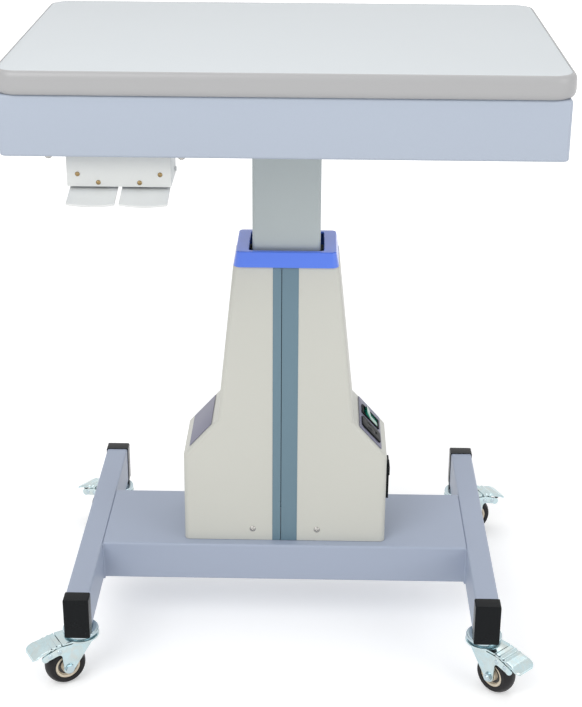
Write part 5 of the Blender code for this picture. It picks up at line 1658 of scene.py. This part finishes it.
    def shoe_stem(self, plan):
        """Folded stem from the foot plate to the shoe over the tread."""
        s = settings().caster
        inner, first, last = self.shoe_angles(plan)
        wheel = (plan.axle.x, plan.axle.z)
        back = arc(wheel, inner + s.shoe_thick, first, last, 4)
        front = arc(wheel, inner + s.shoe_thick / 2, last, first, 4)
        root = back[0][0] + s.shoe_thick / 2
        under = s.pedal_sheet - s.soft / 2
        stem = [(x, self.pedal_top(plan, x) - under) for x in (root, root - s.shoe_thick)]
        outline = front + [back[0]] + stem + [back[3]]
        half = s.shoe_wide / 2
        return slab(outline, -half, half)

    def pad(self, plan):
        """Black brake pad on the shoe, and the rubber stop under the foot plate."""
        s = settings().caster
        inner, first, last = self.shoe_angles(plan)
        wheel = (plan.axle.x, plan.axle.z)
        outline = arc(wheel, inner, last, first, 6)
        outline += arc(wheel, inner + s.shoe_thick / 2 - HAIR, first, last, 6)
        half = s.shoe_wide / 2 - HAIR
        pad = softened(slab(outline, -half, half), s.soft / 2)
        first = plan.axle.x + s.nose_out + s.nose_round + s.soft
        last = first + s.stop_long
        under = self.pedal_top(plan, last) - s.pedal_sheet + s.soft
        stop = softened(block((first, -half, under - s.stop_tall), (last, half, under)), s.soft)
        return joined(pad, stop)

    def rivets(self, plan, body):
        """Low rivet heads on both cheeks, on the hinge pin and on the second rivet."""
        s = settings().caster
        half = s.fork_wide / 2
        holes = [(plan.pin.x, plan.pin.z), (plan.axle.x + s.second_out, plan.axle.z + s.second_up)]
        places = []
        for side in (-1, 1):
            facing = plan.matrix.to_3x3() @ Vector((0.0, side, 0.0))
            places += [(plan.matrix @ Vector((x, side * half, z)), facing) for x, z in holes]
        sizes = {"Head Radius": s.rivet, "Head Height": s.rivet_rise}
        # The rivets take the darker race steel as painted shade against the zinc cheeks.
        heads(plan.name + "_rivets", "rivet_heads", sizes, shaded_race_steel(), body, places)


# Drive inside the housing

class DressDrive(bpy.types.Operator):
    """Finishes of the drive inside the housing"""
    bl_idname = "instrument_table.drive"
    bl_label = "Drive"

    def execute(self, context):
        dress(["top_mount_plate", "lead_screw"], bright_steel())
        dress(["outer_column"], guide_steel())
        dress(["lift_nut"], glide_white())
        # The glide collar is a white glide. It is dressed black as painted shade where its top shows in the
        # dark gap round the column.
        dress(["glide_collar"], black_plastic())
        dress(["lift_motor", "transformer"], motor_black())
        dress(["gearbox"], cast_alloy())
        return {"FINISHED"}


# Stage

class BuildStage(bpy.types.Operator):
    """Pale floor, soft studio light and the camera"""
    bl_idname = "instrument_table.stage"
    bl_label = "Stage"

    def execute(self, context):
        s = settings().stage
        context.scene.view_settings.view_transform = "Standard"
        self.floor(s)
        self.world(context, s)
        self.lamp("key_lamp", s.key_place, s.key_size, s.key)
        self.lamp("fill_lamp", s.fill_place, s.fill_size, s.fill)
        self.lamp("over_lamp", s.over_place, s.over_size, s.over)
        self.camera(context, s)
        return {"FINISHED"}

    def floor(self, s):
        """Wide pale floor that the camera sees as near white, with the object's shadow on it."""
        reach = s.floor_reach
        corners = [(-reach, -reach, 0), (reach, -reach, 0), (reach, reach, 0), (-reach, reach, 0)]
        mesh = bpy.data.meshes.new("floor")
        mesh.from_pydata(corners, [], [(0, 1, 2, 3)])
        made = bpy.data.materials.new("pale_floor")
        made.use_nodes = True
        add = adder(made.node_tree)
        shader = made.node_tree.nodes["Principled BSDF"]
        shader.inputs["Base Color"].default_value = (*s.floor, 1.0)
        shader.inputs["Roughness"].default_value = s.floor_rough
        shader.inputs["Specular IOR Level"].default_value = 0.0
        place = add("ShaderNodeTexCoord").outputs["Object"]
        away = add("ShaderNodeVectorMath", {0: place}, operation="LENGTH").outputs["Value"]
        spread = add("ShaderNodeMapRange", {"Value": away, "From Min": s.near, "From Max": s.far,
                                            "To Min": s.glow, "To Max": 1.0})
        lift = maths(add, "MULTIPLY", self.seen(add, s.glossy), spread)
        glow = add("ShaderNodeEmission", {"Color": WHITE, "Strength": lift})
        both = add("ShaderNodeAddShader", {0: shader, 1: glow})
        made.node_tree.links.new(both.outputs[0], made.node_tree.nodes["Material Output"].inputs["Surface"])
        mesh.materials.append(made)
        obj = bpy.data.objects.new("floor", mesh)
        bpy.context.scene.collection.objects.link(obj)

    def seen(self, add, glossy):
        """One for camera and transmission rays, and a little less for glossy ones."""
        path = add("ShaderNodeLightPath").outputs
        shiny = maths(add, "MULTIPLY", path["Is Glossy Ray"], glossy)
        first = maths(add, "MAXIMUM", path["Is Camera Ray"], shiny)
        return maths(add, "MAXIMUM", first, path["Is Transmission Ray"])

    def world(self, context, s):
        """Even light that the camera and shiny surfaces see as white."""
        world = bpy.data.worlds.new("studio")
        context.scene.world = world
        world.use_nodes = True
        add = adder(world.node_tree)
        even = world.node_tree.nodes["Background"]
        even.inputs["Color"].default_value = WHITE
        even.inputs["Strength"].default_value = s.ambient
        white = add("ShaderNodeBackground", {"Color": WHITE, "Strength": 1.0})
        mix = add("ShaderNodeMixShader", {0: self.seen(add, s.glossy), 1: even, 2: white})
        world.node_tree.links.new(mix.outputs[0], world.node_tree.nodes["World Output"].inputs["Surface"])

    def lamp(self, name, place, size, power):
        """Square soft lamp aimed at the middle of the table."""
        light = bpy.data.lights.new(name, "AREA")
        light.shape = "SQUARE"
        light.size = size
        light.energy = power
        obj = bpy.data.objects.new(name, light)
        obj.location = place
        aim = (CAD_BOX[0] + CAD_BOX[1]) / 2 - Vector(place)
        obj.rotation_euler = aim.to_track_quat("-Z", "Y").to_euler()
        bpy.context.scene.collection.objects.link(obj)

    def camera(self, context, s):
        """Camera at the photograph's viewing angle."""
        data = bpy.data.cameras.new("camera")
        data.lens = s.lens
        data.sensor_width = s.sensor
        obj = bpy.data.objects.new("camera", data)
        aside = Matrix.Rotation(-s.yaw, 4, "Z")
        ahead = Matrix.Rotation(math.radians(90) - s.pitch, 4, "X")
        lean = Matrix.Rotation(s.roll, 4, "Z")
        obj.matrix_world = Matrix.Translation(s.eye) @ aside @ ahead @ lean
        bpy.context.scene.collection.objects.link(obj)
        context.scene.camera = obj


class TablePanel(bpy.types.Panel):
    """Sidebar list of the table's pieces."""
    bl_idname = "VIEW3D_PT_instrument_table"
    bl_label = "Instrument Table"
    bl_space_type = "VIEW_3D"
    bl_region_type = "UI"
    bl_category = "Instrument Table"

    def draw(self, context):
        for build in BUILDERS:
            self.layout.operator(build.bl_idname)


BUILDERS = (BuildStage, BuildTop, BuildTray, BuildHousing, BuildMains, BuildControl, BuildBase, BuildCasters,
            DressDrive)
GROUPS = (TopSettings, TraySettings, HousingSettings, ControlSettings, BaseSettings, CasterSettings,
          DriveSettings, StageSettings, TableSettings)


def register():
    for cls in GROUPS + BUILDERS + (TablePanel,):
        bpy.utils.register_class(cls)
    bpy.types.Scene.instrument_table = PointerProperty(type=TableSettings)


def unregister():
    del bpy.types.Scene.instrument_table
    for cls in reversed(GROUPS + BUILDERS + (TablePanel,)):
        bpy.utils.unregister_class(cls)


def main():
    register()
    bpy.ops.instrument_table.stage()
    bpy.ops.instrument_table.top()
    bpy.ops.instrument_table.tray()
    bpy.ops.instrument_table.housing()
    bpy.ops.instrument_table.mains()
    bpy.ops.instrument_table.control()
    bpy.ops.instrument_table.base()
    bpy.ops.instrument_table.casters()
    bpy.ops.instrument_table.drive()


if __name__ == "__main__":
    main()
